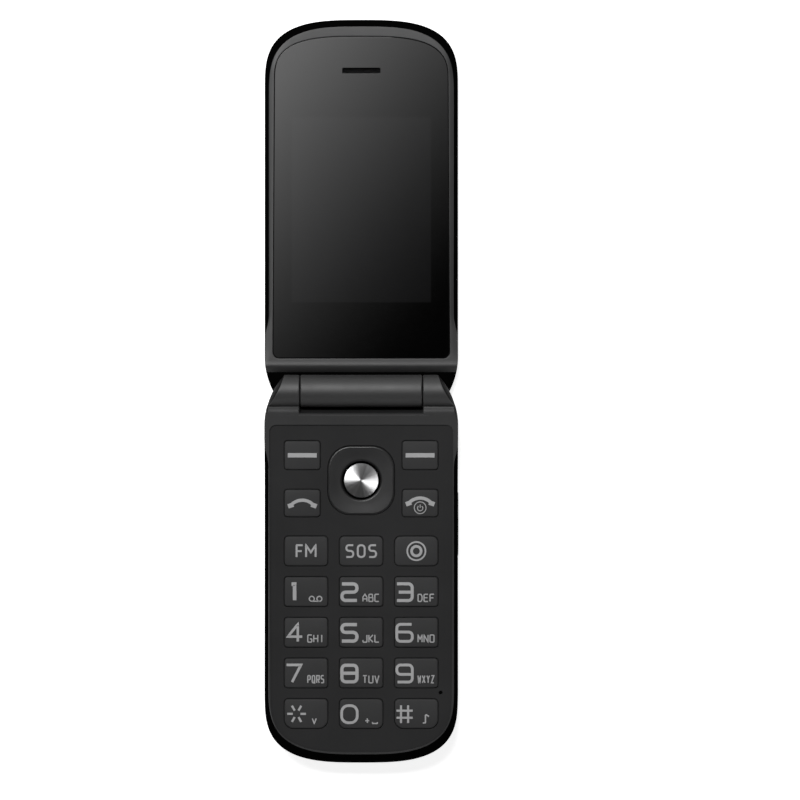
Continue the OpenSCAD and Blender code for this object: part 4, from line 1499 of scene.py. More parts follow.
class Glyphs:
    """Strokes of the legends on a unit square.

    A letter is a list of points x,y. A slash starts another stroke and z closes one.
    """

    SHARP = "147AKMNRVWXYZ"
    LINES = {
        "0": "0,0 1,0 1,1 0,1 z", "1": "0,1 .7,1 .7,0", "2": "0,1 1,1 1,.5 0,.5 0,0 1,0",
        "3": "0,1 1,1 1,0 0,0 / .12,.5 1,.5", "4": ".72,0 .72,1 .1,.28 1,.28",
        "5": "1,1 0,1 0,.53 1,.53 1,0 0,0", "6": ".95,1 0,1 0,0 1,0 1,.55 .05,.55",
        "7": "0,1 .92,1 .36,0", "8": "0,0 1,0 1,1 0,1 z / 0,.52 1,.52",
        "9": ".95,.45 0,.45 0,1 1,1 1,0 .05,0", "A": "0,0 0,.6 .5,1 1,.6 1,0 / 0,.36 1,.36",
        "B": "0,0 0,1 .9,1 .9,.53 0,.53 / 0,0 1,0 1,.53 .8,.53", "C": "1,1 0,1 0,0 1,0",
        "D": "0,0 .75,0 1,.3 1,.7 .75,1 0,1 z", "E": "1,1 0,1 0,0 1,0 / 0,.52 .85,.52",
        "F": "1,1 0,1 0,0 / 0,.5 .85,.5", "G": "1,1 0,1 0,0 1,0 1,.45 .55,.45",
        "H": "0,0 0,1 / 1,0 1,1 / 0,.5 1,.5", "I": ".5,0 .5,1", "J": "1,1 1,0 0,0 0,.3",
        "K": "0,0 0,1 / 1,1 .15,.5 1,0", "L": "0,1 0,0 1,0", "M": "0,0 0,1 .5,.4 1,1 1,0",
        "N": "0,0 0,1 1,0 1,1", "O": "0,0 1,0 1,1 0,1 z", "P": "0,0 0,1 1,1 1,.45 0,.45",
        "Q": "0,0 1,0 1,1 0,1 z / .6,.3 1.1,-.1", "R": "0,0 0,1 1,1 1,.45 0,.45 / .5,.45 1,0",
        "S": "1,1 0,1 0,.52 1,.52 1,0 0,0", "T": "0,1 1,1 / .5,1 .5,0", "U": "0,1 0,0 1,0 1,1",
        "V": "0,1 .5,0 1,1", "W": "0,1 .22,0 .5,.7 .78,0 1,1", "X": "0,0 1,1 / 0,1 1,0",
        "Y": "0,1 .5,.5 1,1 / .5,.5 .5,0", "Z": "0,1 1,1 0,0 1,0",
        "+": ".5,.1 .5,.9 / .1,.5 .9,.5", "_": "0,.25 0,0 1,0 1,.25",
        "#": ".28,0 .28,1 / .72,0 .72,1 / 0,.3 1,.3 / 0,.7 1,.7",
    }

    @classmethod
    def strokes(cls, letter: str) -> list[tuple[Array, bool]]:
        """Reads the strokes of a letter.

        Args:
            letter: The letter.

        Returns:
            The points of each stroke and whether it closes.
        """
        runs = []
        for part in cls.LINES[letter].split("/"):
            words = part.split()
            points = [[float(c) for c in word.split(",")] for word in words if word != "z"]
            runs.append((np.array(points), words[-1] == "z"))
        return runs

    @staticmethod
    def eased(points: Array, radius: float, closed: bool = False, step: float = 0.35) -> Array:
        """Rounds the corners of a run of points and adds points along its straights.

        Args:
            points: The run [x, y].
            radius: Corner radius.
            closed: Whether the run closes.
            step: Longest straight between points.

        Returns:
            The finer run.
        """
        out: list[Array] = []
        n = len(points)
        for i, c in enumerate(points):
            if not closed and i in (0, n - 1):
                out.append(c)
                continue
            a, b = points[i - 1] - c, points[(i + 1) % n] - c
            la, lb = np.linalg.norm(a), np.linalg.norm(b)
            a, b = a / la, b / lb
            half = 0.5 * math.acos(max(-1.0, min(1.0, float(a @ b))))
            run = min(radius / max(math.tan(half), 0.05), 0.45 * min(la, lb))
            out += bend(c, a, b, run, math.sin(half))
        fine: list[Array] = []
        for i, c in enumerate(out):
            fine.append(c)
            if i < len(out) - 1 or closed:
                d = out[(i + 1) % len(out)] - c
                parts = int(np.linalg.norm(d) / step)
                fine.extend(c + d * k / (parts + 1) for k in range(1, parts + 1))
        keep = [p for i, p in enumerate(fine) if i == 0 or np.linalg.norm(p - fine[i - 1]) > 1e-4]
        return np.array(keep)


@dataclass
class Key:
    """One key of the keypad, in millimetres.

    Attributes:
        name: The node and body that it belongs to.
        x: Its place across the phone.
        s: Its distance from the hinge axis.
        w: Width of the cap.
        h: Height of the cap.
        r: Corner radius at the hinge end.
        foot_r: Corner radius at the foot end.
    """

    name: str
    x: float
    s: float
    w: float
    h: float
    r: float = 0.8
    foot_r: float = 0.8
    top: float = 10.6
    flange_low: float = 8.2
    flange_high: float = 8.8
    flange: float = 0.5
    edge: float = 0.4
    edge_drop: float = 0.32
    crown_y: float = 0.2
    crown_x: float = 0.1
    stroke_lift: float = 0.012
    stroke_sink: float = 0.06

    def __post_init__(self) -> None:
        """Starts the book that collects the key."""
        self.book = MeshBook()

    def crown(self, p: Array) -> Array:
        """Returns the height of the pillow-shaped top at points measured from the key's middle."""
        along, aside = (2 * p[:, 1] / self.h) ** 2, (2 * p[:, 0] / self.w) ** 2
        return self.top - self.crown_y * along - self.crown_x * aside

    def loop(self, inset: float) -> Array:
        """Returns the cap's outline moved in by inset."""
        r, foot = max(self.r - inset, 0.12), max(self.foot_r - inset, 0.12)
        return pad_loop(self.w - 2 * inset, self.h - 2 * inset, r, foot)

    def shifted(self, rings: Sequence[Array]) -> list[Array]:
        """Returns rings moved from the key's middle to its place on the phone."""
        return [r + np.array([self.x, -self.s, 0.0]) for r in rings]

    def add_cap(self) -> None:
        """Adds the cap, from the flange up over the edge to the middle of the crown."""
        wide, last = self.loop(-self.flange), self.loop(self.edge)
        rings = [raised(wide, z) for z in (self.flange_low, self.flange_high)]
        rings.append(raised(self.loop(0.0), self.flange_high))
        for side, drop in quarter_round(6):
            p = self.loop(self.edge * side)
            rings.append(raised(p, self.crown(p) - self.edge_drop * drop))
        rings += [raised(last * f, self.crown(last * f)) for f in (0.85, 0.66, 0.45, 0.22)]
        self.book.fan(self.shifted(rings), (self.x, -self.s, self.top))

    def stroke(self, run: Array, width: float, closed: bool = False) -> None:
        """Adds one printed stroke that lies on the crown.

        Args:
            run: Middle line [x, y] from the key's middle.
            width: Stroke width.
            closed: Whether the run closes.
        """
        rings = []
        for p, d in zip(run, side_steps(run, closed) * (width / 2)):
            pair = np.array([p + d, p - d])
            z = self.crown(pair)
            low = raised(pair[::-1], z[::-1] - self.stroke_sink)
            rings.append(np.concatenate([raised(pair, z + self.stroke_lift), low]))
        self.book.loft(self.shifted(rings), 1, closed, Caps.NONE if closed else Caps.BOTH)

    def line(self, points: Sequence[Sequence[float]], width: float, ease: float = 0.0) -> None:
        """Adds a stroke through a few points."""
        self.stroke(Glyphs.eased(np.array(points), ease), width)

    def text(
        self,
        word: str,
        at: Pair,
        size: Pair,
        pen: float,
        gap: float = 0.0,
        ease: float = 0.1,
    ) -> None:
        """Adds a line of letters or digits.

        Args:
            word: The letters.
            at: Left and bottom edge from the key's middle.
            size: Width and height of one letter.
            pen: Stroke width.
            gap: Space between letters.
            ease: Corner radius.
        """
        corner = np.array(at) + pen / 2
        for letter in word:
            for unit_run, closed in Glyphs.strokes(letter):
                run = corner + unit_run * (np.array(size) - pen)
                turn = 0.0 if letter in Glyphs.SHARP else ease
                self.stroke(Glyphs.eased(run, turn, closed), pen, closed)
            corner = corner + [size[0] + gap, 0.0]

    def round_mark(
        self, x: float, y: float, r: float, pen: float, turn: Pair = (0.0, 360.0)
    ) -> None:
        """Adds a circle or an arc.

        Args:
            x: Middle of the circle across the key.
            y: Middle of the circle along the key.
            r: Radius of the middle line.
            pen: Stroke width.
            turn: First and last angle in degrees.
        """
        closed = turn[1] - turn[0] >= 360.0
        a = np.radians(np.linspace(*turn, 37))
        a = a[:-1] if closed else a
        self.stroke(np.column_stack([x + r * np.cos(a), y + r * np.sin(a)]), pen, closed)


@dataclass
class Keypad:
    """The nineteen keys with their printed legends."""

    palette: Palette
    pitch_x: float = 14.5
    pitch_s: float = 10.7
    row_s: float = 42.1
    key_w: float = 11.4
    key_h: float = 7.8
    soft_x: float = 15.5
    soft_w: float = 9.4
    nav_s: float = 23.5
    upper: Pair = (-6.6, 7.6)
    lower: Pair = (6.0, 7.2)
    digit: Pair = (4.8, 5.2)
    digit_at: Pair = (-5.5, -2.7)
    thin_digit: Pair = (2.1, 5.2)
    thin_x: float = -4.3
    letter_x: float = 0.3
    letter_w: float = 1.35
    narrow_w: float = 0.95
    letter_h: float = 2.2
    letter_pen: float = 0.3
    letter_gap: float = 0.22
    word_h: float = 3.6
    word_pen: float = 0.5
    letters: tuple[str, ...] = ("", "", "ABC", "DEF", "GHI", "JKL", "MNO", "PQRS", "TUV", "WXYZ")
    pens: tuple[float, ...] = (0.7, 0.95, 0.86, 0.8, 0.64, 0.86, 0.72, 0.68, 0.84, 0.72)
    rounds: ClassVar[dict[str, Pair]] = {
        "radio_key": (1.0, 1.0),
        "sos_key": (1.2, 1.0),
        "camera_key": (1.6, 1.3),
        "key_star": (1.0, 2.4),
        "key_0": (1.2, 1.6),
        "key_hash": (1.2, 2.4),
    }

    def keys(self) -> list[Key]:
        """Puts the keys in their places.

        Returns:
            The keys, without legends.
        """
        made = []
        for names, (down, h) in (
            (("soft_key_left", "soft_key_right"), self.upper),
            (("call_key", "end_key"), self.lower),
        ):
            for name, side in zip(names, (-1, 1)):
                made.append(Key(name, side * self.soft_x, self.nav_s + down, self.soft_w, h))
        names = ["radio_key", "sos_key", "camera_key"] + [f"key_{i}" for i in range(1, 10)]
        for i, name in enumerate(names + ["key_star", "key_0", "key_hash"]):
            x, s = (i % 3 - 1) * self.pitch_x, self.row_s + i // 3 * self.pitch_s
            key = Key(name, x, s, self.key_w, self.key_h)
            key.r, key.foot_r = self.rounds.get(name, (key.r, key.r))
            made.append(key)
        return made

    def legend(self, key: Key) -> None:
        """Adds the legend of one key.

        Args:
            key: The key.
        """
        low, middle = self.digit_at[1], -self.word_h / 2
        if key.name.startswith("soft"):
            key.line([[-3.8, 0.0], [3.8, 0.0]], 1.15)
        elif key.name in ("call_key", "end_key"):
            self.handset(key)
        elif key.name == "radio_key":
            key.text("F", (-2.75, middle), (2.1, self.word_h), self.word_pen)
            key.text("M", (-0.25, middle), (3.0, self.word_h), self.word_pen)
        elif key.name == "sos_key":
            key.text("SOS", (-4.15, middle), (2.3, self.word_h), self.word_pen, 0.7, 0.8)
        elif key.name == "camera_key":
            for r, w in ((2.4, 0.42), (1.25, 0.7)):
                key.round_mark(0.0, 0.0, r, w)
        elif key.name == "key_star":
            for d in circle(1.0, 6):
                key.line(np.array([d * 1.0, d * 2.45]) + [-2.5, 0.0], 0.55)
            key.text("V", (1.5, low), (1.3, 1.6), 0.3)
        elif key.name == "key_hash":
            key.text("#", self.digit_at, self.digit, 0.55, ease=0.0)
            tail = [[1.7, low + 0.3], [2.4, low + 0.3], [2.4, low + 2.6], [3.3, low + 2.0]]
            key.line(tail, 0.36, 0.2)
        else:
            self.number(key, int(key.name[-1]))

    def number(self, key: Key, value: int) -> None:
        """Adds a digit with its letters or signs.

        Args:
            key: The key.
            value: The digit.
        """
        left, low = self.digit_at
        at, size = (left, low), self.digit
        if value == 1:
            at, size = (self.thin_x, low), self.thin_digit
        key.text(str(value), at, size, self.pens[value], ease=1.0 if value else 1.7)
        word = self.letters[value]
        w = self.letter_w if len(word) < 4 else self.narrow_w
        at, size = (self.letter_x, low), (w, self.letter_h)
        key.text(word, at, size, self.letter_pen, self.letter_gap, 0.25)
        if value == 1:
            for x in (1.5, 3.5):
                key.round_mark(x, low + 0.85, 0.65, 0.3)
            key.line([[1.5, low + 0.2], [3.5, low + 0.2]], 0.3)
        elif value == 0:
            key.text("+_", (0.8, low), (1.6, 1.8), 0.32, 0.4)

    @staticmethod
    def handset(key: Key) -> None:
        """Adds a handset mark, and a power mark under it where the call ends.

        Args:
            key: The key.
        """
        rise = 0.2 if key.name == "call_key" else 0.75
        a = np.radians(np.linspace(140, 40, 21))
        key.stroke(np.column_stack([4.0 * np.cos(a), rise - 3.4 + 4.0 * np.sin(a)]), 0.85)
        for side in (-1.0, 1.0):
            key.line([[side * 2.35, rise - 0.55], [side * 3.75, rise - 1.05]], 1.2)
        if key.name == "end_key":
            key.round_mark(0.0, -1.2, 1.55, 0.22)
            key.round_mark(0.0, -1.3, 0.7, 0.22, (130.0, 410.0))
            key.line([[0.0, -1.2], [0.0, -0.35]], 0.22)

    def build(self) -> None:
        """Makes every key."""
        finishes = self.palette.take("key_satin", "legend_ink")
        for key in self.keys():
            key.add_cap()
            self.legend(key)
            place(key.book.make(key.name + "_cap", finishes), key.name, "key_cap", key.name)


@dataclass
class NavPad:
    """The rocking ring and the round metal key in its middle."""

    palette: Palette
    s: float = 23.5
    w: float = 17.5
    h: float = 18.1
    r: float = 6.0
    low: float = 8.301
    top: float = 10.6
    edge: float = 0.45
    dish: float = 0.4
    hole_r: float = 5.0
    chamfer: Pairs = (
        (0.5, 0.0), (0.46, 0.012), (0.1, 0.15), (0.05, 0.2), (0.02, 0.3), (0.0, 0.45),
    )
    ok_r: float = 4.6
    ok_low: float = 7.85
    ok_stem: float = 1.2
    ok_edge: Pairs = ((0.0, 0.22), (0.02, 0.15), (0.07, 0.09))
    ok_land: float = 0.12
    ok_drop: float = 0.05
    ok_crown: float = 0.1
    seal_w: float = 19.2
    seal_h: float = 19.6
    seal_r: float = 5.0
    seal_steps: Pairs = ((0.0, 7.14), (0.0, 7.3), (0.1, 7.36), (1.2, 7.38))

    def spoke_loop(self, n: int = 144) -> Array:
        """Spreads the ring's outline over even angles.

        Args:
            n: Number of points.

        Returns:
            Points [x, y] about the ring's middle.
        """
        fine = pad_loop(self.w, self.h, self.r, n=40, mid=60)
        angle = np.arctan2(fine[:, 1], fine[:, 0])
        order = np.argsort(angle)
        size = np.linalg.norm(fine, axis=1)[order]
        want = np.linspace(-math.pi, math.pi, n, endpoint=False)
        size = np.interp(want, angle[order], size, period=2 * math.pi)
        return np.column_stack([size * np.cos(want), size * np.sin(want)])

    def build_ring(self) -> None:
        """Makes the ring, which dips towards its middle."""
        outer = self.spoke_loop()
        span = np.linalg.norm(outer, axis=1)[:, None]
        way = outer / span

        def at(f: float, inset: float = 0.0) -> Array:
            """Returns a loop between the outline and the hole."""
            return way * ((span - inset) * (1 - f) + self.hole_r * f)

        rings = [raised(at(1.0), self.low), raised(at(0.0), self.low)]
        for side, drop in quarter_round(6):
            rings.append(raised(at(0.0, self.edge * side), self.top - self.edge * drop))
        for f in np.linspace(0.06, 0.8, 13):
            z = self.top - self.dish * math.sin(f * math.pi / 2) ** 1.3
            rings.append(raised(at(f, self.edge), z))
        # Painted shade: the top of the outer edge's rounding and the hole's chamfer take a darker,
        # glossier copy of the ring's satin (index 1).
        tags = [0] * 4 + [1] * 5 + [0] * (len(rings) - 9) + [1] * len(self.chamfer)
        for out, drop in self.chamfer:
            rings.append(raised(way * (self.hole_r + out), self.top - self.dish - drop))
        book = MeshBook()
        book.loft([r + np.array([0.0, -self.s, 0.0]) for r in rings], tags, closed=True)
        obj = book.make("navigation_ring", self.palette.take("ring_gloss", "ring_edge"))
        place(obj, "nav_ring", "ring_shell", "nav_ring", angle=50)

    def build_ok(self) -> None:
        """Makes the slightly crowned metal key with its dark edge and stem."""
        stem, top = self.ok_stem, self.top - self.ok_drop
        steps = [(stem, self.ok_low, 1), (stem, self.low, 1), (self.ok_r, self.low, 1)]
        steps += [(self.ok_r - inset, self.top - drop, 1) for inset, drop in self.ok_edge]
        for f in np.linspace(1.0, 0.08, 14):
            steps.append(((self.ok_r - self.ok_land) * f, top + self.ok_crown * (1 - f * f)))
        book = MeshBook()
        book.turn((0.0, -self.s), steps, top + self.ok_crown, 128)
        obj = book.make("centre_key", self.palette.take("spun_metal", "blued_steel"))
        soften(obj, 30)
        self.wind(obj.data)
        place(obj, "ok_key", "spun_metal", "ok_key", angle=None)

    def wind(self, mesh: bpy.types.Mesh) -> None:
        """Adds a map that runs round the key's axis, for the direction of its grain.

        Args:
            mesh: The key's mesh.
        """
        spin = mesh.uv_layers.new(name="spin")
        for poly in mesh.polygons:
            first = None
            for i in poly.loop_indices:
                p = mesh.vertices[mesh.loops[i].vertex_index].co
                x, y = p.x, p.y + self.s * MM
                u = math.atan2(y, x) / (2 * math.pi)
                first = u if first is None else first
                u -= round(u - first)
                spin.data[i].uv = (u, math.hypot(x, y) * 100.0)

    def build_seal(self) -> None:
        """Makes the thin black seal that closes the view past the ring, a dark sheet that paints
        the shade in the gap round the ring.
        """
        rings = []
        for inset, z in self.seal_steps:
            loop = pad_loop(self.seal_w - 2 * inset, self.seal_h - 2 * inset, self.seal_r - inset)
            rings.append(raised(loop + [0.0, -self.s], z))
        book = MeshBook()
        book.fan(rings, (0.0, -self.s, self.seal_steps[-1][1]))
        place(book.make("ring_dust_seal", self.palette.take("recess_black")), "base", "key_rubber")

    def build(self) -> None:
        """Makes the ring, the key and the seal."""
        self.build_ring()
        self.build_ok()
        self.build_seal()


@dataclass
class BaseShell:
    """The base: fascia with the ears and the sunk panel, side band and rear cover."""

    palette: Palette
    keypad: Keypad
    nav: NavPad
    form: ShellForm = BASE_FORM
    wall: float = 1.2
    lip: float = 0.16
    fascia_low: float = 8.4
    fascia_lip: Pairs = ((1.75, -0.3), (1.3, -0.3), (1.3, 0.0))
    notch_s: float = 5.7
    panel_half: float = 23.8
    panel_flare: float = 0.3
    panel_near: float = 9.0
    panel_far: float = 95.05
    panel_deep: float = 15.8
    panel_round: float = 1.8
    panel_low: float = 8.85
    panel_top: float = 10.35
    panel_under: float = 0.35
    key_gap: float = 0.12
    nav_gap: float = 0.1
    hole_edge: float = 0.14
    ear_in: float = 16.25
    ear_r: float = 19.54
    ear_round: float = 0.3
    ear_dome: float = 1.3
    ear_inset: float = 0.02
    ear_hub: float = 0.6
    brow: ClassVar[Pairs] = (
        (4.5, 8.4), (7.3, 8.4), (7.3, 10.69), (6.6, 10.69), (6.2, 10.69), (5.9, 10.685),
        (5.6, 10.665), (5.3, 10.61), (5.0, 10.5), (4.75, 10.36), (4.5, 10.19), (4.3, 10.08),
        (4.15, 10.04),
    )
    brow_s: float = 4.1
    brow_z: float = 9.9
    edge_s: float = 20.0
    saddle_r: float = 4.95
    cover_gap: float = 0.08
    crease: Pairs = ((13.0, 8.4), (22.0, 6.0), (61.0, 6.5), (91.0, 6.9))
    scoop: float = 0.25
    tongue: float = 0.4
    jack: Triple = (23.3, 6.5, 1.8)
    usb: tuple[float, float, float, float] = (47.45, 6.625, 7.6, 2.45)
    rocker: tuple[float, float, float, float] = (35.0, 6.65, 17.9, 2.5)
    speaker_s: float = 83.7
    slot_count: int = 5
    slot_pitch: float = 1.6
    slot: Triple = (10.0, 0.8, 0.39)
    mic: Triple = (20.9, 79.35, 0.5)

    def panel_loop(self, grow: float) -> Array:
        """Returns the right side of the sunk panel's outline, made larger by grow."""
        near, far = self.panel_near - grow, self.panel_far + grow
        half = self.panel_half + grow
        deep, r = self.panel_deep, self.panel_round
        return self.form.window(half, self.panel_flare, near, far, deep, r)

    def add_rim(self, book: MeshBook) -> None:
        """Adds the frame of the fascia with its bevel and its raised lip.

        Args:
            book: Where the fascia is collected.
        """
        form, low = self.form, self.fascia_low
        outer = [form.outline(z, start=self.notch_s) for z in (low, form.top)]
        window = self.panel_loop(0.0)
        steps = np.arange(form.right_count) - form.edge_steps
        soft = 0.16 + 0.68 * (1 - smooth(steps / form.flare_steps))
        # The faces below the panel and under the lip take the near-black recess finish (index 3):
        # painted shade.
        corners = [
            Corner(form.ring(outer[0], low), 0.1, 1),
            Corner(form.ring(outer[1], form.top), form.both(soft)),
            Corner(form.ring(window, form.top), 0.3),
            Corner(form.ring(window, self.panel_top - 0.1)),
            Corner(form.ring(window, self.panel_low), 0.0, 3),
        ]
        for shrink, rise in self.fascia_lip:
            lip = form.outline(low, shrink, start=self.notch_s + 1.0)
            corners.append(Corner(form.ring(lip, low + rise), 0.0, 3))
        book.wrap(corners)

    def ear_loop(self, groove: float) -> Array:
        """Returns the ear's section: the brow, a groove of some depth and the barrel.

        Args:
            groove: Share of the groove's full depth.

        Returns:
            Points [s, z].
        """
        brow = np.array(self.brow)
        brow[2:, 1] = brow[2, 1] - groove * (brow[2, 1] - brow[2:, 1])
        return np.concatenate([brow, barrel_arc(20.5, 357.0, 110)])

    def ear_end(self, p: Array) -> Array:
        """Works out where an ear ends across the phone.

        Args:
            p: Points [s, z] of its section.

        Returns:
            The place at each point.
        """
        dome = self.ear_dome * ((p[:, 1] - AXIS_Z) / BARREL_R) ** 2
        bow = np.sqrt(self.ear_r**2 - (p[:, 0] - self.form.flare_s) ** 2)
        return self.form.half_w - self.form.flare_r + bow - dome - self.ear_inset

    def add_ears(self, book: MeshBook) -> None:
        """Adds the two hinge ears, whose outer ends follow the flare of the body.

        Args:
            book: Where the fascia is collected.
        """
        loop, outer_loop, r = self.ear_loop(1.0), self.ear_loop(0.12), self.ear_round
        rings = []
        for side, drop in quarter_round(4):
            p = moved_in(loop, r * drop)
            rings.append((for_each(self.ear_in + r * side, len(p)), p))
        for side, drop in quarter_round(8):
            p = moved_in(outer_loop, r * side)
            rings.append((self.ear_end(p) - r * drop, p))
        last, hub = rings[-1][1], np.array([[self.ear_hub, AXIS_Z]])
        for f in (0.8, 0.6, 0.4, 0.2):
            p = hub + (last - hub) * f
            rings.append((self.ear_end(p), p))
        # Painted shade: the ear's domed outer end takes the darker copy of the barrel finish (index
        # 5).
        tags = [4] * 9 + [5] * (len(rings) - 9)
        for way in (-1.0, 1.0):
            solid = [across(p * [-1.0, 1.0], way * x) for x, p in rings]
            book.fan(solid, (way * self.ear_end(hub)[0], -self.ear_hub, AXIS_Z), tags)

    def add_panel(self, book: MeshBook) -> None:
        """Adds the sunk panel with an opening for each key, the ring and the microphone.

        Args:
            book: Where the fascia is collected.
        """
        loop = self.form.ring(self.panel_loop(self.panel_under), 0.0)[::-1, :2]
        plate = Plate(self.panel_low, self.panel_top, loop, 0.02)
        g, nav = self.key_gap, self.nav
        for key in self.keypad.keys():
            hole = pad_loop(key.w + 2 * g, key.h + 2 * g, key.r + g, key.foot_r + g)
            plate.opening(hole + [key.x, -key.s], self.hole_edge)
        g = self.nav_gap
        hole = pad_loop(nav.w + 2 * g, nav.h + 2 * g, nav.r + g, n=14)
        plate.opening(hole + [0.0, -nav.s], self.hole_edge)
        x, s, r = self.mic
        plate.opening(circle(r, 28) + [x, -s], 0.1)
        plate.add_to(book, 2)

    def build_fascia(self) -> None:
        """Makes the fascia."""
        book = MeshBook()
        self.add_rim(book)
        self.add_ears(book)
        self.add_panel(book)
        names = ["satin_fascia", "black_rim", "keypad_panel", "recess_black"]
        names += ["satin_barrel", "domed_end", "satin_brow", "edge_line"]
        obj = book.make("keypad_fascia_shell", self.palette.take(*names))
        middle = Vector((0.0, -50 * MM))
        for face in obj.data.polygons:
            at, normal, index = face.center, face.normal, face.material_index
            if index == 4 and at.y < -self.brow_s * MM and at.z > self.brow_z * MM:
                face.material_index = 0 if at.y < -self.notch_s * MM else 6
            elif index == 0 and 0.25 < normal.z < 0.97 and at.y < -self.edge_s * MM:
                if normal.xy.dot(at.xy - middle) > 0.0 and normal.x < 0.3:
                    face.material_index = 7
        place(obj, "base", "front_shell", "keypad_fascia", flats=True)

    def saddle_z(self, right: Array) -> Array:
        """Returns the height of the band's upper face, which clears the barrel.

        Args:
            right: Points [x, s] of its right side.

        Returns:
            The height at each point.
        """
        r = np.where(right[:, 0] < self.ear_in + 0.1, self.saddle_r, BARREL_R + 0.12)
        dip = AXIS_Z - np.sqrt(np.maximum(r**2 - right[:, 1] ** 2, 0.0))
        return np.where(right[:, 1] < r, np.minimum(dip, self.fascia_low), self.fascia_low)

    def band_section(self) -> list[Corner]:
        """Works out the band's section, from the parting plane up, over and back.

        Returns:
            The corners in order.
        """
        form = self.form
        part = form.parting(self.cover_gap)
        floor = part + 0.1
        top = np.maximum(self.saddle_z(form.outline(self.fascia_low)), floor)
        near = self.saddle_r + self.wall
        inner = form.outline(top, self.wall, near=near)
        fold = part
        for _ in range(5):
            level = np.interp(form.outline(fold)[:, 1], *zip(*self.crease))
            fold = np.clip(level, floor, top - 0.03)
        scoop = form.both(self.scoop * smooth((top - fold) / 0.9))

        def scooped(z: Array) -> Array:
            """Returns the ring of the upper facet at height z."""
            ring = form.ring(form.outline(z), z)
            return raised(moved_in(ring[:, :2], -scoop), ring[:, 2])

        # Painted highlight: up to the fold, the lower facet takes the lighter copy of the band's
        # satin (index 0).
        corners = [form.corner(part, 0.14)]
        corners += [form.corner(part + (fold - part) * f) for f in (0.25, 0.5, 0.75)]
        corners.append(form.corner(fold, 0.0, 2))
        rise = fold + np.minimum(0.22, 0.4 * (top - fold))
        corners += [Corner(scooped(z), 0.0, 2) for z in (rise, (rise + top) / 2)]
        corners.append(Corner(scooped(top), 0.1, 2))
        # The upper face under the fascia and the inner walls take the near-black recess finish
        # (index 1): painted shade.
        outer = scooped(top)[: form.right_count, :2] * [1.0, -1.0]
        for f in np.linspace(0.08, 0.92, 12):
            p = outer * (1 - f) + inner * f
            corners.append(Corner(form.ring(p, np.maximum(self.saddle_z(p), floor)), 0.0, 1))
        corners.append(Corner(form.ring(inner, self.saddle_z(inner)), 0.0, 1))
        low = part - self.tongue * smooth((form.outline(part)[:, 1] - 14.0) / 4.0)
        for shrink, z in ((2.0, part + 0.5), (2.0, low), (1.6, low), (1.6, part)):
            corners.append(Corner(form.ring(form.outline(part, shrink, near=near), z), 0.0, 1))
        return corners

    def build_band(self) -> None:
        """Makes the side band with the openings for the rocker and the sockets."""
        book = MeshBook()
        book.wrap(self.band_section())
        names = ("facet_satin", "recess_black", "side_band_satin", "slot_floor")
        obj = book.make("side_band", self.palette.take(*names))
        # Painted shade: the faces seen in the slot between the barrel and the fascia take a dark
        # grey for the slot's shade.
        for face in obj.data.polygons:
            in_slot = face.center.y > -self.notch_s * MM and abs(face.center.x) < self.ear_in * MM
            if face.material_index == 1 and in_slot:
                face.material_index = 3
        holes, left, right = MeshBook(), (-27.0, -20.0), (20.0, 27.0)
        s, z, r = self.jack
        openings = [(circle(r, 64) + [-s, z], left)]
        for (s, z, w, h), r, n, ends in ((self.usb, 0.5, 7, left), (self.rocker, 1.24, 12, right)):
            openings.append((pad_loop(w, h, r, n=n) + [-s, z], ends))
        for loop, ends in openings:
            holes.loft([across(loop, x) for x in ends], caps=Caps.BOTH)
        cut_away(obj, holes)
        place(obj, "base", "side_band", "base_frame")

    def build_cover(self) -> None:
        """Makes the rear cover with the loudspeaker slots."""
        bowl = self.form.bowl(self.wall, self.lip)
        obj = bowl.make("rear_cover", self.palette.take("rear_gloss"))
        slots = MeshBook()
        for i in range(self.slot_count):
            s = self.speaker_s - (i - self.slot_count // 2) * self.slot_pitch
            loop = pad_loop(*self.slot) + [0.0, -s]
            slots.loft([raised(loop, z) for z in (-1.0, 4.5)], caps=Caps.BOTH)
        cut_away(obj, slots)
        place(obj, "battery_cover", "rear_shell", "battery_cover")

    def build(self) -> None:
        """Makes every piece of the base's shell."""
        self.build_fascia()
        self.build_band()
        self.build_cover()


@dataclass
class SideControls:
    """The volume rocker on the right side."""

    palette: Palette
    s: float = 35.0
    z: float = 6.65
    length: float = 17.4
    height: float = 2.1
    skin: float = 25.6
    flange: Pair = (1.4, 0.6)
    flange_x: Pair = (23.4, 24.0)
    edge: float = 0.5
    dip: float = 0.22
    dip_run: float = 2.6
    bow: float = 0.05

    def face(self, loop: Array) -> Array:
        """Returns the outer face, a little lower in the middle than towards its ends."""
        dip = self.dip * np.exp(-((loop[:, 0] / self.dip_run) ** 2))
        return self.skin - dip - self.bow * (loop[:, 0] / 8.0) ** 2

    def build(self) -> None:
        """Makes the rocker with a rounded face that dips in its middle."""
        plain = pad_loop(self.length, self.height, self.height / 2 - 0.02, n=14, mid=24)
        out, up = self.flange
        wide = pad_loop(self.length + out, self.height + up, 0.3, n=14, mid=24)
        low, high = self.flange_x
        rings: list[tuple[Array, Array | float]] = [(wide, low), (wide, high), (plain, high)]
        for side, drop in quarter_round(6):
            loop = moved_in(plain, self.edge * side)
            rings.append((loop, self.face(loop) - self.edge * drop))
        last = moved_in(plain, self.edge)
        for f in (0.75, 0.5, 0.25):
            loop = last * [1.0, f]
            rings.append((loop, self.face(loop) + self.bow * (1 - f)))
        book = MeshBook()
        book.loft([across(loop + [-self.s, self.z], x) for loop, x in rings], caps=Caps.BOTH)
        obj = book.make("volume_rocker_cap", self.palette.take("rocker_satin"))
        place(obj, "volume_rocker", "side_band", "volume_rocker", angle=50)


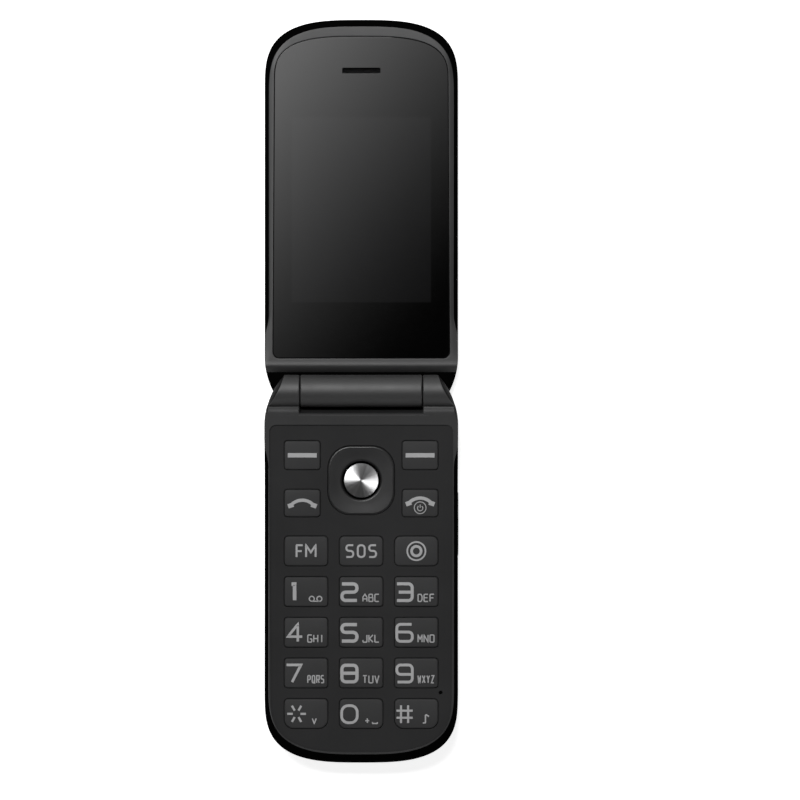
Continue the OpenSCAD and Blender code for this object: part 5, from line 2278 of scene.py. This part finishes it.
@dataclass
class HingeWorks:
    """The coil spring, the rolled flat cable and the washers on the hinge axis."""

    palette: Palette
    wire: float = 0.3
    turns: float = 6.0
    roll_r: Pair = (2.6, 2.38)
    cable_x: Pair = (-8.0, -1.8)
    cable_half: float = 0.06
    cable_path: ClassVar[Pairs] = (
        (-0.2, 6.2), (0.5, 5.95), (1.1, 5.4), (1.7, 4.6), (2.3, 3.8), (3.0, 3.1),
        (4.2, 2.75), (6.6, 2.7),
    )
    washer: ClassVar[Pairs] = (
        (2.1, 16.015), (4.0, 16.015), (4.05, 16.06), (4.05, 16.19), (4.0, 16.235),
        (2.1, 16.235),
    )

    @staticmethod
    def sleeve(book: MeshBook, steps: Sequence[Sequence[float]], n: int) -> None:
        """Adds a hollow turned form on the hinge axis, by radius and place of each ring."""
        rings = [across(circle(r, n) + [0.0, AXIS_Z], x) for r, x in steps]
        book.loft(rings, closed=True)

    def build_coil(self) -> None:
        """Makes the spring as a coil that follows its path."""
        low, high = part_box("hinge_spring")
        wire = self.wire * MM
        tree = GeometryTree("hinge_coil")
        size = tree.size("Radius", (high.z - low.z) / 2 - wire)
        thick = tree.size("Wire", wire)
        turns = tree.size("Turns", self.turns)
        tall = tree.size("Length", high.x - low.x - 2 * wire)
        where = tree.size("Start", (low.x + wire, 0.0, AXIS_Z * MM), "NodeSocketVector")
        path = {"Rotations": turns, "Start Radius": size, "End Radius": size, "Height": tall}
        body = tree.tube(tree.add("CurveSpiral", {"Resolution": 40, **path}), thick, 12, True)
        turn = {"Geometry": body, "Translation": where, "Rotation": (0.0, math.pi / 2, 0.0)}
        obj = tree.piece(tree.add("Transform", turn), *self.palette.take("bright_steel"))
        place(obj, "lid", "steel", "hinge_spring", angle=60)

    def build_cable(self) -> None:
        """Makes the rolled flat cable and its run into the lid."""
        low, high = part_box("hinge_flex")
        x0, x1 = low.x / MM, high.x / MM
        outer, inner = self.roll_r
        book = MeshBook()
        self.sleeve(book, ((outer, x0), (outer, x1), (inner, x1), (inner, x0)), 64)
        path = Glyphs.eased(np.array(self.cable_path), 1.2, step=0.3)
        step = np.gradient(path, axis=0)
        normal = np.column_stack([-step[:, 1], step[:, 0]]) / np.linalg.norm(step, axis=1)[:, None]
        left, right = self.cable_x
        rings = []
        for p, n in zip(path, normal * self.cable_half):
            u, v = p + n, p - n
            rings.append(np.array([[left, *u], [right, *u], [right, *v], [left, *v]]))
        book.loft(rings, caps=Caps.BOTH)
        obj = book.make("rolled_cable", self.palette.take("cable_film"))
        place(obj, "lid", "flat_cable", "hinge_flex")

    def build_washers(self) -> None:
        """Makes the thin dark washers in the gaps beside the middle knuckle, which paint the shade
        in those gaps.
        """
        book = MeshBook()
        for side in (-1.0, 1.0):
            self.sleeve(book, [(r, side * x) for r, x in self.washer], 96)
        place(book.make("hinge_washers", self.palette.take("recess_black")), "base", "socket_black")

    def build(self) -> None:
        """Makes every piece on the axis."""
        self.build_coil()
        self.build_cable()
        self.build_washers()


@dataclass
class InnerWorks:
    """Parts inside the shells: key domes, loudspeaker mesh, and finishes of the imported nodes."""

    palette: Palette
    keypad: Keypad
    dome_steps: Pairs = (
        (2.0, 0.0), (1.9, 0.3), (1.6, 0.62), (1.2, 0.84), (0.7, 0.96),
    )
    mesh_size: Pair = (12.0, 7.5)
    mesh_pitch: float = 0.42
    mesh_gap: float = 0.08
    finishes: ClassVar[dict[str, tuple[str, ...]]] = {
        "cell_wrap": ("battery",),
        "board_laminate": ("main_board", "lid_board", "side_switch"),
        "bright_steel": (
            "shield_can", "usb_socket", "sim_socket", "base_screws", "lid_screws",
            "vibration_motor", "lid_magnet",
        ),
        "blued_steel": ("hinge_shaft", "hinge_pin", "hinge_can"),
        "key_rubber_grey": ("keypad_mat", "nav_web"),
        "socket_moulding": (
            "headset_jack", "loudspeaker", "receiver", "antenna", "camera_module",
            "microphone",
        ),
        "contact_plating": ("battery_contacts",),
        "panel_glass": ("display_panel",),
    }

    def dress(self, nodes: dict[str, Object]) -> None:
        """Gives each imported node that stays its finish.

        Args:
            nodes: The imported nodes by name.
        """
        for finish, names in self.finishes.items():
            for name in names:
                mesh = nodes[name].data
                mesh.materials.clear()
                mesh.materials.append(*self.palette.take(finish))
                LOG.info("%s is finished in %s", name, finish)

    def build_domes(self) -> None:
        """Makes the snap domes under the keys."""
        low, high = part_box("key_domes")
        z, tall = low.z / MM, (high.z - low.z) / MM
        shape = MeshBook()
        shape.turn((0.0, 0.0), [(r, share * tall) for r, share in self.dome_steps], tall, 24)
        places = [(k.x, -k.s, z) for k in self.keypad.keys()] + [(0.0, -self.keypad.nav_s, z)]
        obj = repeated("snap_domes", places, shape, *self.palette.take("bright_steel"))
        place(obj, "base", "steel", "key_domes", angle=None)

    def build_speaker_mesh(self) -> None:
        """Makes the mesh in front of the loudspeaker, behind the slots."""
        low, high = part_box("loudspeaker")
        centre = (0.0, (low.y + high.y) / 2 / MM, low.z / MM - self.mesh_gap)
        (steel,) = self.palette.take("dark_mesh_steel")
        obj = woven_mesh("speaker_mesh", centre, self.mesh_size, self.mesh_pitch, steel)
        place(obj, "base", "steel", angle=60)

    def build(self, nodes: dict[str, Object]) -> None:
        """Makes the inner pieces and finishes the nodes.

        Args:
            nodes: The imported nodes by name.
        """
        self.build_domes()
        self.build_speaker_mesh()
        self.dress(nodes)


# Studio


@dataclass
class Studio:
    """Floor, lights, reflected card, world and camera."""

    view_x: float = 0.0102
    view_y: float = -0.00236
    frame_w: float = 0.2106
    lens_mm: float = 300.0
    sensor_mm: float = 36.0
    focus_z: float = 0.009
    floor_half: float = 3.0
    floor_z: float = -2e-5
    floor_glow: Pair = (0.35, 0.8)
    card_level: float = 3.15
    card_curve: float = 2.2
    card_way: Triple = (-0.7755, 0.6313, 0.0)
    card_span: Pair = (-0.004, 0.1252)
    card_x: Pair = (-0.13, 0.11)
    card_y: Pair = (-0.05, 0.2)
    card_z: float = 1.2
    sky_span: Pair = (0.2, 0.85)
    sky_level: Pair = (0.4, 0.016)

    @staticmethod
    def stage(
        name: str, x: Pair, y: Pair, z: float, material: Material
    ) -> Object:
        """Makes a flat stage piece.

        Args:
            name: Its name.
            x: Its two ends across.
            y: Its two ends along.
            z: Its height.
            material: Its finish.

        Returns:
            The new object.
        """
        mesh = bpy.data.meshes.new(name)
        corners = [(x[0], y[0], z), (x[1], y[0], z), (x[1], y[1], z), (x[0], y[1], z)]
        mesh.from_pydata(corners, [], [(0, 1, 2, 3)])
        mesh.materials.append(material)
        obj = linked(name, mesh)
        return obj

    def floor(self) -> None:
        """Makes the white floor, which keeps the phone's shadow."""
        material = blank("floor_white")
        t = material.node_tree
        path = add_node(t, "ShaderNodeLightPath").outputs
        seen = path["Is Camera Ray"]
        for ray in ("Is Transmission Ray", "Is Glossy Ray"):
            seen = reckon(t, "MAXIMUM", seen, path[ray])
        matte = add_node(t, "ShaderNodeBsdfDiffuse", {0: (0.8, 0.8, 0.8, 1.0)}).outputs[0]
        level = spread(t, path["Is Camera Ray"], (0.0, 1.0), self.floor_glow)
        glow = add_node(t, "ShaderNodeEmission", {1: level}).outputs[0]
        both = add_node(t, "ShaderNodeAddShader", {0: matte, 1: glow}).outputs[0]
        mix = add_node(t, "ShaderNodeMixShader", {0: seen, 1: matte, 2: both}).outputs[0]
        add_node(t, "ShaderNodeOutputMaterial", {0: mix})
        side = (-self.floor_half, self.floor_half)
        self.stage("floor", side, side, self.floor_z, material)

    def card(self) -> None:
        """Makes the graded card that the lens mirrors, brighter towards the upper left."""
        material = blank("card_glow")
        t = material.node_tree
        way = {0: add_node(t, "ShaderNodeTexCoord").outputs["Object"], 1: self.card_way}
        along = add_node(t, "ShaderNodeVectorMath", way, operation="DOT_PRODUCT").outputs["Value"]
        curve = reckon(t, "POWER", spread(t, along, self.card_span), self.card_curve)
        level = reckon(t, "MULTIPLY", curve, self.card_level)
        glow = add_node(t, "ShaderNodeEmission", {1: level}).outputs[0]
        add_node(t, "ShaderNodeOutputMaterial", {0: glow})
        obj = self.stage("graded_card", self.card_x, self.card_y[::-1], self.card_z, material)
        obj.visible_camera = obj.visible_diffuse = obj.visible_shadow = False

    @staticmethod
    def lamp(name: str, at: Triple, to: Triple, size: Pair, power: float) -> None:
        """Adds a rectangular soft box.

        Args:
            name: The lamp's name.
            at: Its place in metres.
            to: The point that it faces.
            size: Its width and height in metres.
            power: Its power in watts.
        """
        data = bpy.data.lights.new(name, "AREA")
        data.shape, data.size, data.size_y, data.energy = "RECTANGLE", size[0], size[1], power
        obj = linked(name, data)
        obj.location = at
        obj.rotation_euler = (Vector(to) - Vector(at)).to_track_quat("-Z", "Y").to_euler()

    def world(self) -> None:
        """Makes a soft surround that is white to the camera and dim overhead."""
        world = bpy.data.worlds.new("studio")
        world.use_nodes = True
        t = world.node_tree
        t.nodes.clear()
        path = add_node(t, "ShaderNodeLightPath").outputs
        way = add_node(t, "ShaderNodeTexCoord").outputs["Generated"]
        up = add_node(t, "ShaderNodeSeparateXYZ", {0: way}).outputs["Z"]
        soft = spread(t, up, self.sky_span, self.sky_level, "SMOOTHSTEP")
        lit = reckon(t, "ADD", reckon(t, "MULTIPLY", path["Is Glossy Ray"], soft), soft)
        clear = reckon(t, "MAXIMUM", path["Is Camera Ray"], path["Is Transmission Ray"])
        level = add_node(t, "ShaderNodeMix", {0: clear, 2: lit, 3: 1.0}).outputs[0]
        back = add_node(t, "ShaderNodeBackground", {0: (1.0, 1.0, 1.0, 1.0), 1: level}).outputs[0]
        add_node(t, "ShaderNodeOutputWorld", {0: back})
        bpy.context.scene.world = world

    def camera(self) -> None:
        """Puts a long-lens camera straight above the phone."""
        data = bpy.data.cameras.new("front_view")
        data.lens, data.sensor_width, data.clip_end = self.lens_mm, self.sensor_mm, 20.0
        obj = linked("front_view", data)
        away = self.frame_w * self.lens_mm / self.sensor_mm
        obj.location = (self.view_x, self.view_y, self.focus_z + away)
        bpy.context.scene.camera = obj

    def build(self) -> None:
        """Sets the whole studio up."""
        bpy.context.scene.view_settings.view_transform = "Standard"
        self.floor()
        self.card()
        self.world()
        self.lamp("key_box", (-0.3, 0.62, 1.25), (-0.3, 0.62, 0.0), (0.7, 0.55), 20.0)
        self.lamp("foot_strip", (0.05, -0.55, 0.4), (0.0, -0.05, 0.0), (0.5, 0.05), 0.1)
        self.camera()


def main() -> None:
    """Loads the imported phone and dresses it."""
    logging.basicConfig(level=logging.INFO, format="%(message)s")
    for name in ("Cube", "Light", "Camera"):
        if name in bpy.data.objects:
            bpy.data.objects.remove(bpy.data.objects[name])
    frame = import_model()
    palette = Palette()
    keypad, nav = Keypad(palette), NavPad(palette)
    for assembly in (LidShell(palette), BaseShell(palette, keypad, nav), keypad, nav):
        assembly.build()
    SideControls(palette).build()
    HingeWorks(palette).build()
    InnerWorks(palette, keypad).build(frame["nodes"])
    Studio().build()


if __name__ == "__main__":
    main()
